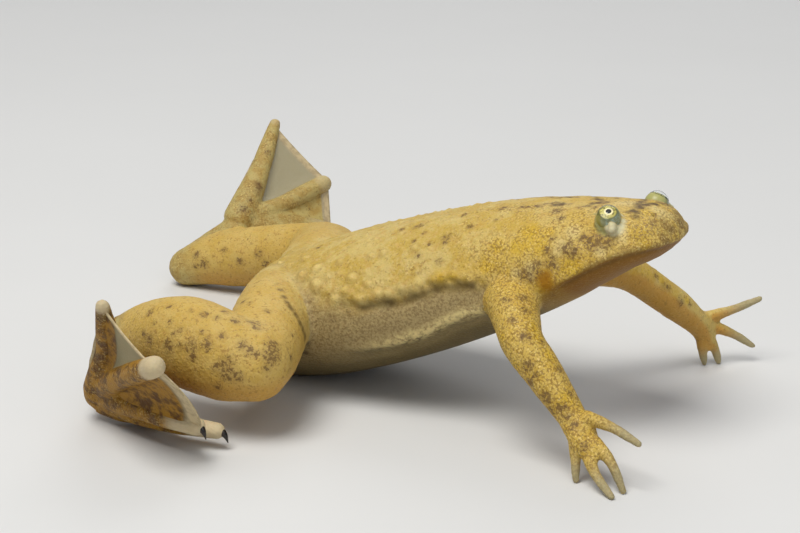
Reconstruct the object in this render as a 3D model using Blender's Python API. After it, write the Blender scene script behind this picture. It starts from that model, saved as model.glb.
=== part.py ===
"""Western clawed frog, life size, propped on its hands with its head raised.

Lengths are millimetres while the pieces are shaped, and each finished mesh is scaled to metres.
+X is towards the snout, +Y is the frog's left and +Z is up. The floor is the plane z = 0.
"""

import math
from collections import namedtuple

import bmesh
import bpy
from mathutils import Matrix, Vector

METRES = 0.001  # one millimetre
GAP = 0.3  # clearance between neighbouring pieces
FLOOR = 0.0
UP = Vector((0.0, 0.0, 1.0))
LEFT, RIGHT = 1, -1

# The body is a loft along a straight axis that rises towards the head.
BODY_PITCH = math.radians(20.0)
BODY_CENTRE = Vector((0.0, 0.0, 9.7))

# Sections of head and trunk: distance along the axis, half width, height of the widest line,
# top, bottom, and how square the upper and the lower half are (1 is an ellipse).
BODY = (
    (-20.6, 4.6, 0.2, 3.4, -3.0, 1.0, 1.0),
    (-17.0, 6.4, 0.2, 4.9, -4.8, 0.96, 1.0),
    (-12.5, 8.0, 0.0, 5.7, -5.6, 0.92, 0.95),
    (-7.5, 8.6, -0.2, 6.0, -5.8, 0.90, 0.93),
    (-1.5, 8.2, -0.4, 5.95, -5.6, 0.90, 0.93),
    (4.0, 7.3, -0.5, 5.75, -5.1, 0.90, 0.95),
    (9.0, 6.7, -0.7, 5.3, -4.35, 0.90, 0.95),
    (13.5, 6.5, -0.9, 4.5, -3.45, 0.88, 0.92),
    (17.0, 5.95, -0.65, 3.6, -2.6, 0.86, 0.90),
    (20.0, 5.1, -0.3, 2.75, -1.85, 0.85, 0.89),
    (22.8, 4.1, -0.05, 1.95, -1.15, 0.90, 0.92),
)
TAIL_END, NOSE_END = BODY[0][0], BODY[-1][0]
SNOUT_ROUND = 2.6  # length over which the snout closes
RUMP_ROUND = 4.2
BODY_RINGS = 30
BODY_SIDES = 28
NECK_AT = 13.2  # distance along the axis of the cut between head and trunk

# Limbs: x, y, z of the core, half width and half height, from root to end.
ARM_RIGHT = (
    (7.0, -2.6, 11.4, 2.1, 2.1),
    (9.7, -5.9, 11.3, 2.2, 2.2),
    (11.2, -7.8, 10.4, 1.95, 1.95),
    (12.5, -9.3, 9.2, 1.75, 1.75),
)
FOREARM_RIGHT = (
    (12.5, -9.3, 9.2, 1.75, 1.75),
    (13.9, -9.7, 8.0, 1.65, 1.65),
    (15.7, -10.2, 6.3, 1.5, 1.45),
    (17.7, -10.8, 4.4, 1.25, 1.1),
)
PALM_RIGHT = (
    (17.7, -10.8, 4.4, 1.25, 1.1),
    (18.8, -11.5, 3.55, 1.35, 0.9),
    (20.0, -12.2, 2.6, 1.1, 0.7),
)
# Each finger and toe is the three places that its core passes, from its root to its tip.
FINGERS_RIGHT = (
    ((19.0, -11.0, 4.8), (21.7, -11.6, 4.5), (24.0, -12.2, 3.9)),
    ((20.2, -12.0, 3.1), (21.7, -12.8, 1.95), (23.2, -13.1, 0.2)),
    ((19.6, -12.3, 2.7), (21.1, -13.4, 1.4), (23.0, -14.5, 0.2)),
    ((18.5, -11.9, 2.8), (18.85, -12.5, 1.6), (19.1, -12.9, 0.2)),
)
ARM_LEFT = (
    (7.0, 2.6, 11.4, 2.1, 2.1),
    (9.6, 6.0, 11.3, 2.15, 2.1),
    (11.0, 8.6, 10.6, 1.85, 1.8),
    (12.4, 11.0, 9.55, 1.6, 1.6),
)
FOREARM_LEFT = (
    (12.4, 11.0, 9.55, 1.6, 1.6),
    (14.1, 13.4, 7.5, 1.5, 1.5),
    (15.3, 15.1, 5.9, 1.45, 1.45),
    (16.15, 16.2, 4.7, 1.3, 1.25),
)
PALM_LEFT = (
    (16.15, 16.2, 4.7, 1.3, 1.25),
    (16.8, 17.2, 3.5, 1.25, 1.05),
    (17.2, 17.5, 2.4, 1.0, 0.8),
)
FINGERS_LEFT = (
    ((17.1, 17.6, 4.4), (18.8, 19.2, 4.9), (20.9, 20.6, 5.9)),
    ((17.4, 18.0, 3.6), (19.1, 19.4, 2.6), (20.5, 20.4, 1.5)),
    ((17.4, 17.7, 2.5), (17.9, 18.1, 1.3), (18.15, 18.3, 0.2)),
    ((17.0, 17.0, 2.5), (17.1, 17.1, 1.3), (17.2, 17.4, 0.2)),
)
FINGER_SIZES = ((0.5, 0.27, 1.0),) * 4
ARM_STEPS, ARM_SIDES = 9, 16
PALM_STEPS, PALM_SIDES = 6, 14
PALM_UP = Vector((0.3, 0.0, 1.0))

THIGH_RIGHT = (
    (-13.9, -2.5, 6.5, 3.4, 3.6),
    (-12.6, -6.0, 6.9, 3.4, 3.6),
    (-11.2, -9.4, 6.9, 3.4, 3.5),
    (-9.9, -12.4, 6.5, 3.4, 3.35),
    (-8.7, -15.0, 6.2, 3.25, 3.15),
    (-7.9, -16.9, 6.15, 3.0, 3.0),
)
SHANK_RIGHT = (
    (-7.9, -16.9, 6.15, 3.0, 3.1),
    (-10.0, -17.3, 6.4, 3.35, 3.6),
    (-12.4, -17.2, 6.8, 3.5, 3.85),
    (-14.9, -16.9, 6.95, 3.4, 3.8),
    (-18.4, -16.2, 6.6, 2.7, 3.0),
    (-22.1, -15.2, 5.7, 1.8, 1.85),
)
ANKLE_RIGHT = (
    (-22.1, -15.2, 5.7, 1.8, 1.8),
    (-21.9, -17.8, 4.0, 1.6, 1.5),
    (-20.9, -20.2, 2.35, 1.6, 1.45),
)
# Toes run from the first, which is the inner one, to the fifth.
TOES_RIGHT = (
    ((-20.6, -20.4, 1.5), (-18.2, -19.9, 0.8), (-15.6, -18.6, 0.35)),
    ((-20.5, -20.6, 2.0), (-15.0, -21.4, 1.6), (-8.9, -20.9, 1.55)),
    ((-20.4, -20.7, 2.5), (-14.8, -22.9, 2.9), (-8.75, -23.9, 2.95)),
    ((-20.4, -20.8, 3.0), (-14.9, -24.6, 6.3), (-9.6, -28.0, 9.05)),
    ((-20.5, -20.7, 3.1), (-17.95, -22.9, 7.5), (-16.1, -25.8, 12.3)),
)
THIGH_LEFT = (
    (-14.4, 2.5, 6.8, 3.9, 3.4),
    (-16.0, 7.0, 6.9, 3.9, 3.4),
    (-19.2, 12.2, 6.1, 3.5, 3.1),
    (-22.4, 15.8, 5.1, 2.8, 2.8),
)
SHANK_LEFT = (
    (-22.4, 15.8, 5.1, 2.8, 2.8),
    (-27.2, 15.6, 4.05, 2.8, 2.95),
    (-31.1, 15.0, 3.3, 2.6, 2.85),
    (-34.0, 14.5, 2.7, 2.25, 2.4),
    (-36.5, 14.1, 1.8, 1.85, 1.9),
)
ANKLE_LEFT = (
    (-36.5, 14.1, 1.8, 1.85, 1.85),
    (-35.2, 15.6, 3.4, 1.5, 1.45),
    (-32.6, 17.0, 5.6, 1.6, 1.3),
)
TOES_LEFT = (
    ((-32.0, 17.6, 6.1), (-29.3, 19.4, 4.8), (-27.0, 20.6, 3.4)),
    ((-32.0, 17.6, 6.1), (-28.9, 20.5, 5.0), (-26.2, 22.6, 3.6)),
    ((-32.1, 17.6, 6.2), (-29.4, 21.4, 5.6), (-26.9, 24.4, 4.6)),
    ((-32.1, 17.5, 6.3), (-30.3, 22.2, 7.1), (-28.2, 26.3, 8.6)),
    ((-32.5, 17.5, 6.7), (-33.1, 21.9, 9.9), (-34.0, 26.5, 14.1)),
)
# Each toe's radius at root and tip, and how much wider than high it is.
TOE_SIZES = (
    (0.85, 0.4, 1.0), (0.9, 0.62, 1.0), (0.95, 0.68, 1.0), (1.0, 0.82, 1.0), (1.3, 0.55, 1.2),
)
THIGH_STEPS, THIGH_SIDES = 10, 20
SHANK_STEPS, SHANK_SIDES = 11, 18
ANKLE_STEPS, ANKLE_SIDES = 7, 14
DIGIT_STEPS, DIGIT_SIDES = 9, 8
FOOT_UP = Vector((0.3, 0.2, 1.0))
FOOT_START = 1.4  # how far before the end of the ankle the foot begins

WEB = 0.5  # thickness of the membrane
WEB_REACH = (0.7, 0.88, 0.94, 0.97, 0.97)  # how far along each toe the webs go
WEB_ROOT = 0.06
# How far the free edge of each web curves in, or out where negative, in lengths of a toe.
WEB_DIPS = {"right": (0.2, 0.2, -0.42, 0.15), "left": (0.2, 0.2, 0.0, 0.0)}
WEB_ACROSS, WEB_ALONG = 4, 6

CLAWED = 3  # the three inner toes carry claws
CLAW_LENGTH = 0.7
CLAW_DROOP = 0.3
CLAW_ROOT, CLAW_TIP = 0.33, 0.1

# Head details.
EYE_RADIUS = 1.0
EYE_AT = Vector((17.15, 3.95, 18.8))
LEFT_EYE_SHIFT = Vector((0.65, 0.0, -0.6))  # the left eye is drawn in a little
EYE_LOOKS = Vector((0.18, 0.55, 0.82)).normalized()
EYE_ROWS = 12
LID_RING, LID_ROLL = 1.2, 0.34
LID_SET_BACK = 0.25
NOSTRIL = Vector((20.0, 1.2, 18.65))
NOSTRIL_RADIUS = 0.26
# The mouth runs from its corner to the front at these distances along the axis and heights.
MOUTH = ((14.6, -1.35), (17.4, -0.74), (20.4, -0.4), (22.6, -0.8))
MOUTH_GROOVE = 0.24
MOUTH_STEPS = 12
FEELER_FROM_EYE = Vector((0.7, 0.95, -1.1))
FEELER_OUT = Vector((0.6, 0.75, -0.2)).normalized()
FEELER_LENGTH = 0.7

FLAT_START, FLAT_END = 0, -1
CAP_ANGLES = (30, 60, 86)  # degrees round a limb's rounded end

Ring = namedtuple("Ring", "centre side up down upper lower")


def clear_scene():
    for item in list(bpy.data.objects):
        bpy.data.objects.remove(item)


def through(keys, count):
    """Rows spaced evenly along a smooth curve through rows of x, y, z and any sizes."""
    places = [0.0]
    for a, b in zip(keys, keys[1:]):
        places.append(places[-1] + math.dist(a[:3], b[:3]))

    def slope(i, k):
        before, after = max(i - 1, 0), min(i + 1, len(keys) - 1)
        return (keys[after][k] - keys[before][k]) / (places[after] - places[before])

    rows = []
    for n in range(count):
        at = places[-1] * n / (count - 1)
        i = max(j for j in range(len(keys) - 1) if places[j] <= at + 1e-9)
        span = places[i + 1] - places[i]
        t = (at - places[i]) / span
        row = []
        for k in range(len(keys[0])):
            start, end = keys[i][k], keys[i + 1][k]
            leave, arrive = slope(i, k) * span, slope(i + 1, k) * span
            row.append(
                start * (2 * t**3 - 3 * t**2 + 1)
                + leave * (t**3 - 2 * t**2 + t)
                + end * (3 * t**2 - 2 * t**3)
                + arrive * (t**3 - t**2)
            )
        rows.append(tuple(row))
    return rows


def ring_point(ring, turn):
    """The point of a ring at an angle, where the two halves are superellipses."""
    c, s = math.cos(turn), math.sin(turn)
    power = ring.upper if s >= 0 else ring.lower
    across = math.copysign(abs(c) ** power, c)
    rise = abs(s) ** power
    return ring.centre + ring.side * across + (ring.up if s >= 0 else ring.down) * rise


def loft(rings, sides):
    """A closed bmesh through rings, whose first and last ring shrink to a point."""
    bm = bmesh.new()
    turn = bm.verts.layers.float.new("turn")
    verts = bmesh.ops.create_circle(bm, segments=sides, radius=1.0)["verts"]
    start = verts
    edges = list(bm.edges)
    for vert in verts:
        vert[turn] = math.atan2(vert.co.y, vert.co.x)
        vert.co = ring_point(rings[0], vert[turn])
    for ring in rings[1:]:
        grown = bmesh.ops.extrude_edge_only(bm, edges=edges)["geom"]
        verts = [g for g in grown if isinstance(g, bmesh.types.BMVert)]
        new = set(verts)
        edges = [g for g in grown if isinstance(g, bmesh.types.BMEdge) and new.issuperset(g.verts)]
        for vert in verts:
            vert.co = ring_point(ring, vert[turn])
    for tip in (start, verts):
        middle = sum((v.co for v in tip), Vector()) / len(tip)
        bmesh.ops.pointmerge(bm, verts=tip, merge_co=middle)
    bmesh.ops.recalc_face_normals(bm, faces=bm.faces)
    return bm


def body_place(along, across, height):
    """A point of the pitched body in the model's frame."""
    c, s = math.cos(BODY_PITCH), math.sin(BODY_PITCH)
    return BODY_CENTRE + Vector((along * c - height * s, across, along * s + height * c))


BODY_CURVE = through([(row[0], 0.0, 0.0) + row[1:] for row in BODY], 241)


def body_section(along):
    """Half width, widest line, top, bottom and squareness at a distance along the axis."""
    nearest = min(BODY_CURVE, key=lambda row: abs(row[0] - along))
    half, middle, top, bottom, upper, lower = nearest[3:]
    into_nose = (along - NOSE_END + SNOUT_ROUND) / SNOUT_ROUND
    into_rump = (TAIL_END + RUMP_ROUND - along) / RUMP_ROUND
    closing = max(0.0, into_nose, into_rump)
    share = math.sqrt(max(0.0, 1 - closing**2))
    high = middle + (top - middle) * share
    low = middle + (bottom - middle) * share
    return half * share, middle, high, low, upper, lower


def body_ring(along):
    half, middle, top, bottom, upper, lower = body_section(along)
    centre = body_place(along, 0, middle)
    rise = body_place(along, 0, top) - centre
    fall = body_place(along, 0, bottom) - centre
    return Ring(centre, Vector((0, half, 0)), rise, fall, upper, lower)


def body_stations():
    """Distances along the axis, close together where the ends round off."""
    quarter = [math.radians(a) for a in (88, 70, 50, 30)]
    rear = [TAIL_END + RUMP_ROUND * (1 - math.sin(a)) for a in quarter]
    front = [NOSE_END - SNOUT_ROUND * (1 - math.sin(a)) for a in reversed(quarter)]
    start, end = TAIL_END + RUMP_ROUND, NOSE_END - SNOUT_ROUND
    return rear + [start + (end - start) * i / BODY_RINGS for i in range(BODY_RINGS + 1)] + front


def body_side(along, height):
    """The place on the body's left flank at a height."""
    half, middle, top, bottom, upper, lower = body_section(along)
    reach, power = (top - middle, upper) if height > middle else (middle - bottom, lower)
    share = min(1.0, abs(height - middle) / reach)
    return body_place(along, half * (1 - share ** (2 / power)) ** (power / 2), height)


def tube(keys, steps, sides, hint, flat=None):
    """A limb: rings across its core, with rounded ends, of which one can be flat."""
    rows = through(keys, steps)
    points = [Vector(row[:3]) for row in rows]
    rings = []
    for i, row in enumerate(rows):
        along = (points[min(i + 1, steps - 1)] - points[max(i - 1, 0)]).normalized()
        side = along.cross(hint).normalized()
        rings.append((points[i], along, side * row[3], side.cross(along) * row[4]))
    caps = {}
    for end, sign in ((FLAT_START, -1), (FLAT_END, 1)):
        centre, along, side, up = rings[end]
        reach = 0.0 if end == flat else (side.length + up.length) / 2
        angles = CAP_ANGLES[-1:] if end == flat else CAP_ANGLES
        caps[end] = []
        for angle in (math.radians(a) for a in angles):
            place = centre + along * sign * reach * math.sin(angle)
            caps[end].append((place, side * math.cos(angle), up * math.cos(angle)))
    middle = [(centre, side, up) for centre, _, side, up in rings]
    sections = caps[FLAT_START][::-1] + middle + caps[FLAT_END]
    return loft([Ring(c, side, up, -up, 1.0, 1.0) for c, side, up in sections], sides)


def cut_away(bm, point, normal):
    """Removes what lies beyond a plane, on the side its normal points to, and closes the cut."""
    geom = list(bm.verts) + list(bm.edges) + list(bm.faces)
    bmesh.ops.bisect_plane(bm, geom=geom, dist=1e-5, plane_co=point, plane_no=normal, clear_outer=True)
    rim = [e for e in bm.edges if e.is_boundary]
    bmesh.ops.holes_fill(bm, edges=rim, sides=0)
    bmesh.ops.recalc_face_normals(bm, faces=bm.faces)


def mitre(first, second, joint, before, after):
    """Parts two lofts that share a joint along the plane halfway between their directions."""
    normal = ((joint - before).normalized() + (after - joint).normalized()).normalized()
    cut_away(first, joint - normal * GAP / 2, normal)
    cut_away(second, joint + normal * GAP / 2, -normal)


def as_object(name, bm):
    bmesh.ops.triangulate(bm, faces=bm.faces)
    mesh = bpy.data.meshes.new(name)
    bm.to_mesh(mesh)
    bm.free()
    item = bpy.data.objects.new(name, mesh)
    bpy.context.scene.collection.objects.link(item)
    return item


def apply_boolean(item, operation, others):
    """One Boolean on a collection of closed pieces, applied, with the pieces then removed."""
    group = bpy.data.collections.new("operands")
    bpy.context.scene.collection.children.link(group)
    for other in others:
        group.objects.link(other)
    modifier = item.modifiers.new("join", "BOOLEAN")
    modifier.operation = operation
    modifier.operand_type = "COLLECTION"
    modifier.collection = group
    modifier.solver = "EXACT"
    bpy.context.view_layer.update()
    shaped = item.evaluated_get(bpy.context.evaluated_depsgraph_get())
    mesh = bpy.data.meshes.new_from_object(shaped)
    item.modifiers.clear()
    item.data = mesh
    for other in others:
        bpy.data.objects.remove(other)
    bpy.data.collections.remove(group)
    keep_largest(item)


def keep_largest(item):
    """Drops loose scraps, so that a node is one closed surface."""
    bm = bmesh.new()
    bm.from_mesh(item.data)
    left = set(bm.verts)
    shells = []
    while left:
        todo = [left.pop()]
        shell = set(todo)
        while todo:
            for edge in todo.pop().link_edges:
                joined = left.intersection(edge.verts)
                left -= joined
                shell |= joined
                todo += joined
        shells.append(shell)
    shells.sort(key=len)
    for shell in shells[:-1]:
        bmesh.ops.delete(bm, geom=list(shell), context="VERTS")
    bmesh.ops.triangulate(bm, faces=bm.faces)
    bm.to_mesh(item.data)
    bm.free()


def swollen(item):
    """A copy of a piece grown by the gap, to cut its neighbour clear of it."""
    bm = bmesh.new()
    bm.from_mesh(item.data)
    bm.normal_update()
    normals = [v.normal.copy() for v in bm.verts]
    for vert, normal in zip(bm.verts, normals):
        vert.co += normal * GAP
    return as_object(item.name + "_swollen", bm)


def rest_on_floor(item):
    """Cuts a flat where a piece meets the floor."""
    bm = bmesh.new()
    bm.from_mesh(item.data)
    if min(v.co.z for v in bm.verts) < FLOOR:
        cut_away(bm, Vector((0, 0, FLOOR)), -UP)
        bmesh.ops.triangulate(bm, faces=bm.faces)
        bm.to_mesh(item.data)
    bm.free()


def plain_material(name, colour, roughness):
    material = bpy.data.materials.new(name)
    material.use_nodes = True
    shader = material.node_tree.nodes["Principled BSDF"]
    shader.inputs["Base Color"].default_value = (*colour, 1.0)
    shader.inputs["Roughness"].default_value = roughness
    shader.inputs["Metallic"].default_value = 0.0
    return material


def on_side(point, side):
    """A point of the left side, or its mirror image on the right."""
    return Vector((point.x, point.y * side, point.z))


def eye_centre(side):
    return on_side(EYE_AT, side) + (LEFT_EYE_SHIFT if side == LEFT else Vector())


def digits(paths, sizes, clawed):
    """Fingers or toes that taper to rounded ends, or to flat ones where a claw goes on."""
    made = []
    for i, (path, (root, tip, width)) in enumerate(zip(paths, sizes)):
        radii = [root + (tip - root) * n / (len(path) - 1) for n in range(len(path))]
        keys = [(*place, radius * width, radius) for place, radius in zip(path, radii)]
        flat = FLAT_END if i < clawed else None
        made.append(as_object("digit", tube(keys, DIGIT_STEPS, DIGIT_SIDES, FOOT_UP, flat)))
    return made


def web_between(toes, inner, dip):
    """A membrane from one toe to the next, with a curved free edge, alike on both faces."""
    paths = [[Vector(row) for row in through(toes[i], 25)] for i in (inner, inner + 1)]
    reaches = WEB_REACH[inner : inner + 2]

    def on_toe(path, at):
        place = at * (len(path) - 1)
        i = min(int(place), len(path) - 2)
        return path[i].lerp(path[i + 1], place - i)

    def place(across, along):
        edge = reaches[0] + (reaches[1] - reaches[0]) * across - dip * across * (1 - across)
        at = WEB_ROOT + (edge - WEB_ROOT) * along
        return on_toe(paths[0], at).lerp(on_toe(paths[1], at), across)

    bm = bmesh.new()
    bmesh.ops.create_grid(bm, x_segments=WEB_ACROSS, y_segments=WEB_ALONG, size=0.5)
    for vert in bm.verts:
        vert.co = place(vert.co.x + 0.5, vert.co.y + 0.5)
    bmesh.ops.triangulate(bm, faces=bm.faces)
    bm.normal_update()
    for vert, normal in [(v, v.normal.copy()) for v in bm.verts]:
        vert.co += normal * WEB / 2
    bmesh.ops.solidify(bm, geom=list(bm.faces), thickness=WEB)
    bmesh.ops.recalc_face_normals(bm, faces=bm.faces)
    return as_object("web", bm)


def ball(name, centre, radius, rows=10):
    bm = bmesh.new()
    place = Matrix.Translation(centre)
    bmesh.ops.create_uvsphere(bm, u_segments=rows + 4, v_segments=rows, radius=radius, matrix=place)
    return as_object(name, bm)


def eyelid(side):
    """The rolled rim of skin round the eyeball."""
    looks = on_side(EYE_LOOKS, side)
    place = Matrix.Translation(eye_centre(side) - looks * LID_SET_BACK)
    upright = Matrix.Translation((LID_RING, 0, 0)) @ Matrix.Rotation(math.pi / 2, 4, "X")
    bm = bmesh.new()
    bmesh.ops.create_circle(bm, segments=8, radius=LID_ROLL, matrix=upright)
    roll = list(bm.verts) + list(bm.edges)
    turn = 2 * math.pi
    bmesh.ops.spin(bm, geom=roll, cent=(0, 0, 0), axis=UP, angle=turn, steps=18, use_merge=True)
    bmesh.ops.remove_doubles(bm, verts=bm.verts, dist=1e-4)
    bmesh.ops.recalc_face_normals(bm, faces=bm.faces)
    bm.transform(place @ looks.to_track_quat("Z", "Y").to_matrix().to_4x4())
    return as_object("lid", bm)


def feeler(side):
    """The short feeler below each eye."""
    root = eye_centre(side) + on_side(FEELER_FROM_EYE, side)
    out = on_side(FEELER_OUT, side)
    sizes = ((-0.5, 0.34), (0.1, 0.3), (FEELER_LENGTH, 0.2))
    keys = [(*(root + out * reach), radius, radius) for reach, radius in sizes]
    return as_object("feeler", tube(keys, 4, 8, UP))


def mouth_line():
    """A thin tube along both lips, which cuts the line of the mouth."""
    corner_to_front = through([(along, height, 0.0) for along, height in MOUTH], MOUTH_STEPS)
    left = [body_side(along, height) for along, height, _ in corner_to_front]
    front = body_place(NOSE_END, 0, MOUTH[-1][1])
    right = [on_side(place, RIGHT) for place in reversed(left)]
    keys = [(*place, MOUTH_GROOVE, MOUTH_GROOVE) for place in left + [front] + right]
    return as_object("mouth", tube(keys, 44, 6, UP))


def make_body():
    """Head and trunk, parted by a thin cut, with eye sockets, lids, nostrils and mouth."""
    whole = loft([body_ring(along) for along in body_stations()], BODY_SIDES)
    axis = Vector((math.cos(BODY_PITCH), 0, math.sin(BODY_PITCH)))
    neck = body_place(NECK_AT, 0, 0)
    trunk = whole.copy()
    cut_away(trunk, neck - axis * GAP / 2, axis)
    cut_away(whole, neck + axis * GAP / 2, -axis)
    torso = as_object("torso", trunk)
    head = as_object("head", whole)
    apply_boolean(head, "UNION", [make(side) for side in (LEFT, RIGHT) for make in (eyelid, feeler)])
    hollows = [mouth_line()]
    for side in (LEFT, RIGHT):
        hollows.append(ball("socket", eye_centre(side), EYE_RADIUS + GAP))
        hollows.append(ball("nostril", on_side(NOSTRIL, side), NOSTRIL_RADIUS))
    apply_boolean(head, "DIFFERENCE", hollows)
    return head, torso


def make_arm(name, arm, forearm, palm, fingers, torso):
    """Upper arm, forearm, and a hand with four free fingers."""
    upper = tube(arm, ARM_STEPS, ARM_SIDES, UP)
    fore = tube(forearm, ARM_STEPS, ARM_SIDES, UP)
    hand = tube(palm, PALM_STEPS, PALM_SIDES, PALM_UP)
    elbow, wrist = Vector(forearm[0][:3]), Vector(palm[0][:3])
    mitre(upper, fore, elbow, Vector(arm[-2][:3]), Vector(forearm[1][:3]))
    mitre(fore, hand, wrist, Vector(forearm[-2][:3]), Vector(palm[1][:3]))
    upper = as_object("upper_arm_" + name, upper)
    apply_boolean(upper, "DIFFERENCE", [swollen(torso)])
    fore = as_object("forearm_" + name, fore)
    hand = as_object("hand_" + name, hand)
    apply_boolean(hand, "UNION", digits(fingers, FINGER_SIZES, 0))
    return [upper, fore, hand]


def make_leg(name, thigh, shank, ankle, toes, torso):
    """Thigh, shank, ankle, and a webbed foot with five toes."""
    upper = tube(thigh, THIGH_STEPS, THIGH_SIDES, UP)
    lower = tube(shank, SHANK_STEPS, SHANK_SIDES, UP)
    tarsus = tube(ankle, ANKLE_STEPS, ANKLE_SIDES, FOOT_UP)
    knee, heel = Vector(shank[0][:3]), Vector(ankle[0][:3])
    mitre(upper, lower, knee, Vector(thigh[-2][:3]), Vector(shank[1][:3]))
    mitre(lower, tarsus, heel, Vector(shank[-2][:3]), Vector(ankle[1][:3]))
    end = Vector(ankle[-1][:3])
    along = (end - Vector(ankle[-2][:3])).normalized()
    start = end - along * FOOT_START
    sole = tarsus.copy()
    cut_away(tarsus, start - along * GAP / 2, along)
    cut_away(sole, start + along * GAP / 2, -along)
    upper = as_object("thigh_" + name, upper)
    apply_boolean(upper, "DIFFERENCE", [swollen(torso)])
    lower = as_object("shank_" + name, lower)
    tarsus = as_object("ankle_" + name, tarsus)
    foot = as_object("foot_" + name, sole)
    webs = [web_between(toes, i, dip) for i, dip in enumerate(WEB_DIPS[name])]
    apply_boolean(foot, "UNION", digits(toes, TOE_SIZES, CLAWED) + webs)
    return [upper, lower, tarsus, foot]


def claw(name, path):
    """A small dark claw that goes on from the flat end of a toe and droops."""
    tip, before = (Vector(row) for row in through(path, 12)[:-3:-1])
    out = (tip - before).normalized()
    root = tip + out * GAP
    keys = []
    for share, radius in ((0.0, CLAW_ROOT), (0.5, CLAW_ROOT * 0.7), (1.0, CLAW_TIP)):
        place = root + out * CLAW_LENGTH * share - UP * CLAW_DROOP * share**2
        keys.append((*place, radius, radius))
    return as_object(name, tube(keys, 5, DIGIT_SIDES, FOOT_UP, FLAT_START))


def centre_on_floor(made):
    """Moves the whole frog so that the middle of its footprint is the origin."""
    corners = [v.co for item in made for v in item.data.vertices]
    middle_x = (min(c.x for c in corners) + max(c.x for c in corners)) / 2
    middle_y = (min(c.y for c in corners) + max(c.y for c in corners)) / 2
    for item in made:
        item.data.transform(Matrix.Translation((-middle_x, -middle_y, 0)))


def finish(items, material):
    """Gives pieces their material, smooth shading and real size."""
    for item in items:
        item.data.materials.append(material)
        item.data.transform(Matrix.Scale(METRES, 4))
        item.data.shade_smooth()


def main():
    clear_scene()
    head, torso = make_body()
    flesh = [head, torso]
    flesh += make_arm("right", ARM_RIGHT, FOREARM_RIGHT, PALM_RIGHT, FINGERS_RIGHT, torso)
    flesh += make_arm("left", ARM_LEFT, FOREARM_LEFT, PALM_LEFT, FINGERS_LEFT, torso)
    flesh += make_leg("right", THIGH_RIGHT, SHANK_RIGHT, ANKLE_RIGHT, TOES_RIGHT, torso)
    flesh += make_leg("left", THIGH_LEFT, SHANK_LEFT, ANKLE_LEFT, TOES_LEFT, torso)
    eyes = [ball("eye_left", eye_centre(LEFT), EYE_RADIUS, EYE_ROWS)]
    eyes.append(ball("eye_right", eye_centre(RIGHT), EYE_RADIUS, EYE_ROWS))
    claws = [claw(f"claw_right_{i + 1}", TOES_RIGHT[i]) for i in range(CLAWED)]
    claws += [claw(f"claw_left_{i + 1}", TOES_LEFT[i]) for i in range(CLAWED)]
    for item in flesh + claws:
        rest_on_floor(item)
    centre_on_floor(flesh + eyes + claws)
    finish(flesh, plain_material("skin", (0.56, 0.38, 0.12), 0.45))
    finish(eyes, plain_material("iris", (0.42, 0.40, 0.16), 0.15))
    finish(claws, plain_material("claw", (0.02, 0.015, 0.012), 0.3))


main()
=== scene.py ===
"""Looks of the western clawed frog: one skin over the whole body, thin webs, eyes and claws.

Shapes are worked out in millimetres in the frog's own frame, where +X is towards the snout,
+Y is the frog's left and +Z is up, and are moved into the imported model's frame in metres.
"""

import math
from collections import namedtuple

import bmesh
import bpy
import numpy as np
from mathutils import Matrix, Vector, noise
from mathutils.bvhtree import BVHTree


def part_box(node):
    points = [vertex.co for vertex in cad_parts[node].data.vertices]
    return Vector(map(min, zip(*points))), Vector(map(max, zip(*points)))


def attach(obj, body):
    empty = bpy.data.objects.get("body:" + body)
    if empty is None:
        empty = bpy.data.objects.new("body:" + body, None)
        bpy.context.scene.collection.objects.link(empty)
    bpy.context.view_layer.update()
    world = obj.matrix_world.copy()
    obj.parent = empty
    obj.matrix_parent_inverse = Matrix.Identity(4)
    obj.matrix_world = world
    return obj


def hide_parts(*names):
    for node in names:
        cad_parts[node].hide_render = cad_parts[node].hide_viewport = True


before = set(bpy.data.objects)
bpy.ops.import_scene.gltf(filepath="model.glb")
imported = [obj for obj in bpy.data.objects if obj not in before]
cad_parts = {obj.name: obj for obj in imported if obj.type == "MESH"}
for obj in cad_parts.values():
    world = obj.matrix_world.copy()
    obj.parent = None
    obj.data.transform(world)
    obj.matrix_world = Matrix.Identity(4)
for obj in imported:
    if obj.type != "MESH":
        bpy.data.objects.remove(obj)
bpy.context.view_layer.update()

MM = 0.001
UP = Vector((0.0, 0.0, 1.0))
LEFT, RIGHT = 1, -1
SIDE_NAMES = {LEFT: "left", RIGHT: "right"}

# The body is a loft along a straight axis that rises towards the head.
BODY_PITCH = math.radians(20.0)
BODY_CENTRE = Vector((0.0, 0.0, 9.7))

# Sections of head and trunk: distance along the axis, half width, height of the widest line,
# top, bottom, and how square the upper and the lower half are (1 is an ellipse).
BODY = (
    (-20.6, 4.6, 0.2, 3.4, -3.0, 1.0, 1.0),
    (-17.0, 6.4, 0.2, 4.9, -4.8, 0.96, 1.0),
    (-12.5, 8.0, 0.0, 5.7, -5.6, 0.92, 0.95),
    (-7.5, 8.6, -0.2, 6.0, -5.8, 0.90, 0.93),
    (-1.5, 8.2, -0.4, 5.95, -5.6, 0.90, 0.93),
    (4.0, 7.3, -0.5, 5.75, -5.1, 0.90, 0.95),
    (9.0, 6.7, -0.7, 5.3, -4.35, 0.90, 0.95),
    (13.5, 6.5, -0.9, 4.5, -3.45, 0.88, 0.92),
    (17.0, 5.95, -0.65, 3.6, -2.6, 0.86, 0.90),
    (20.0, 5.1, -0.3, 2.75, -1.85, 0.85, 0.89),
    (22.8, 4.1, -0.05, 1.95, -1.15, 0.90, 0.92),
)
TAIL_END, NOSE_END = BODY[0][0], BODY[-1][0]
SNOUT_ROUND = 2.6
RUMP_ROUND = 4.2

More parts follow.
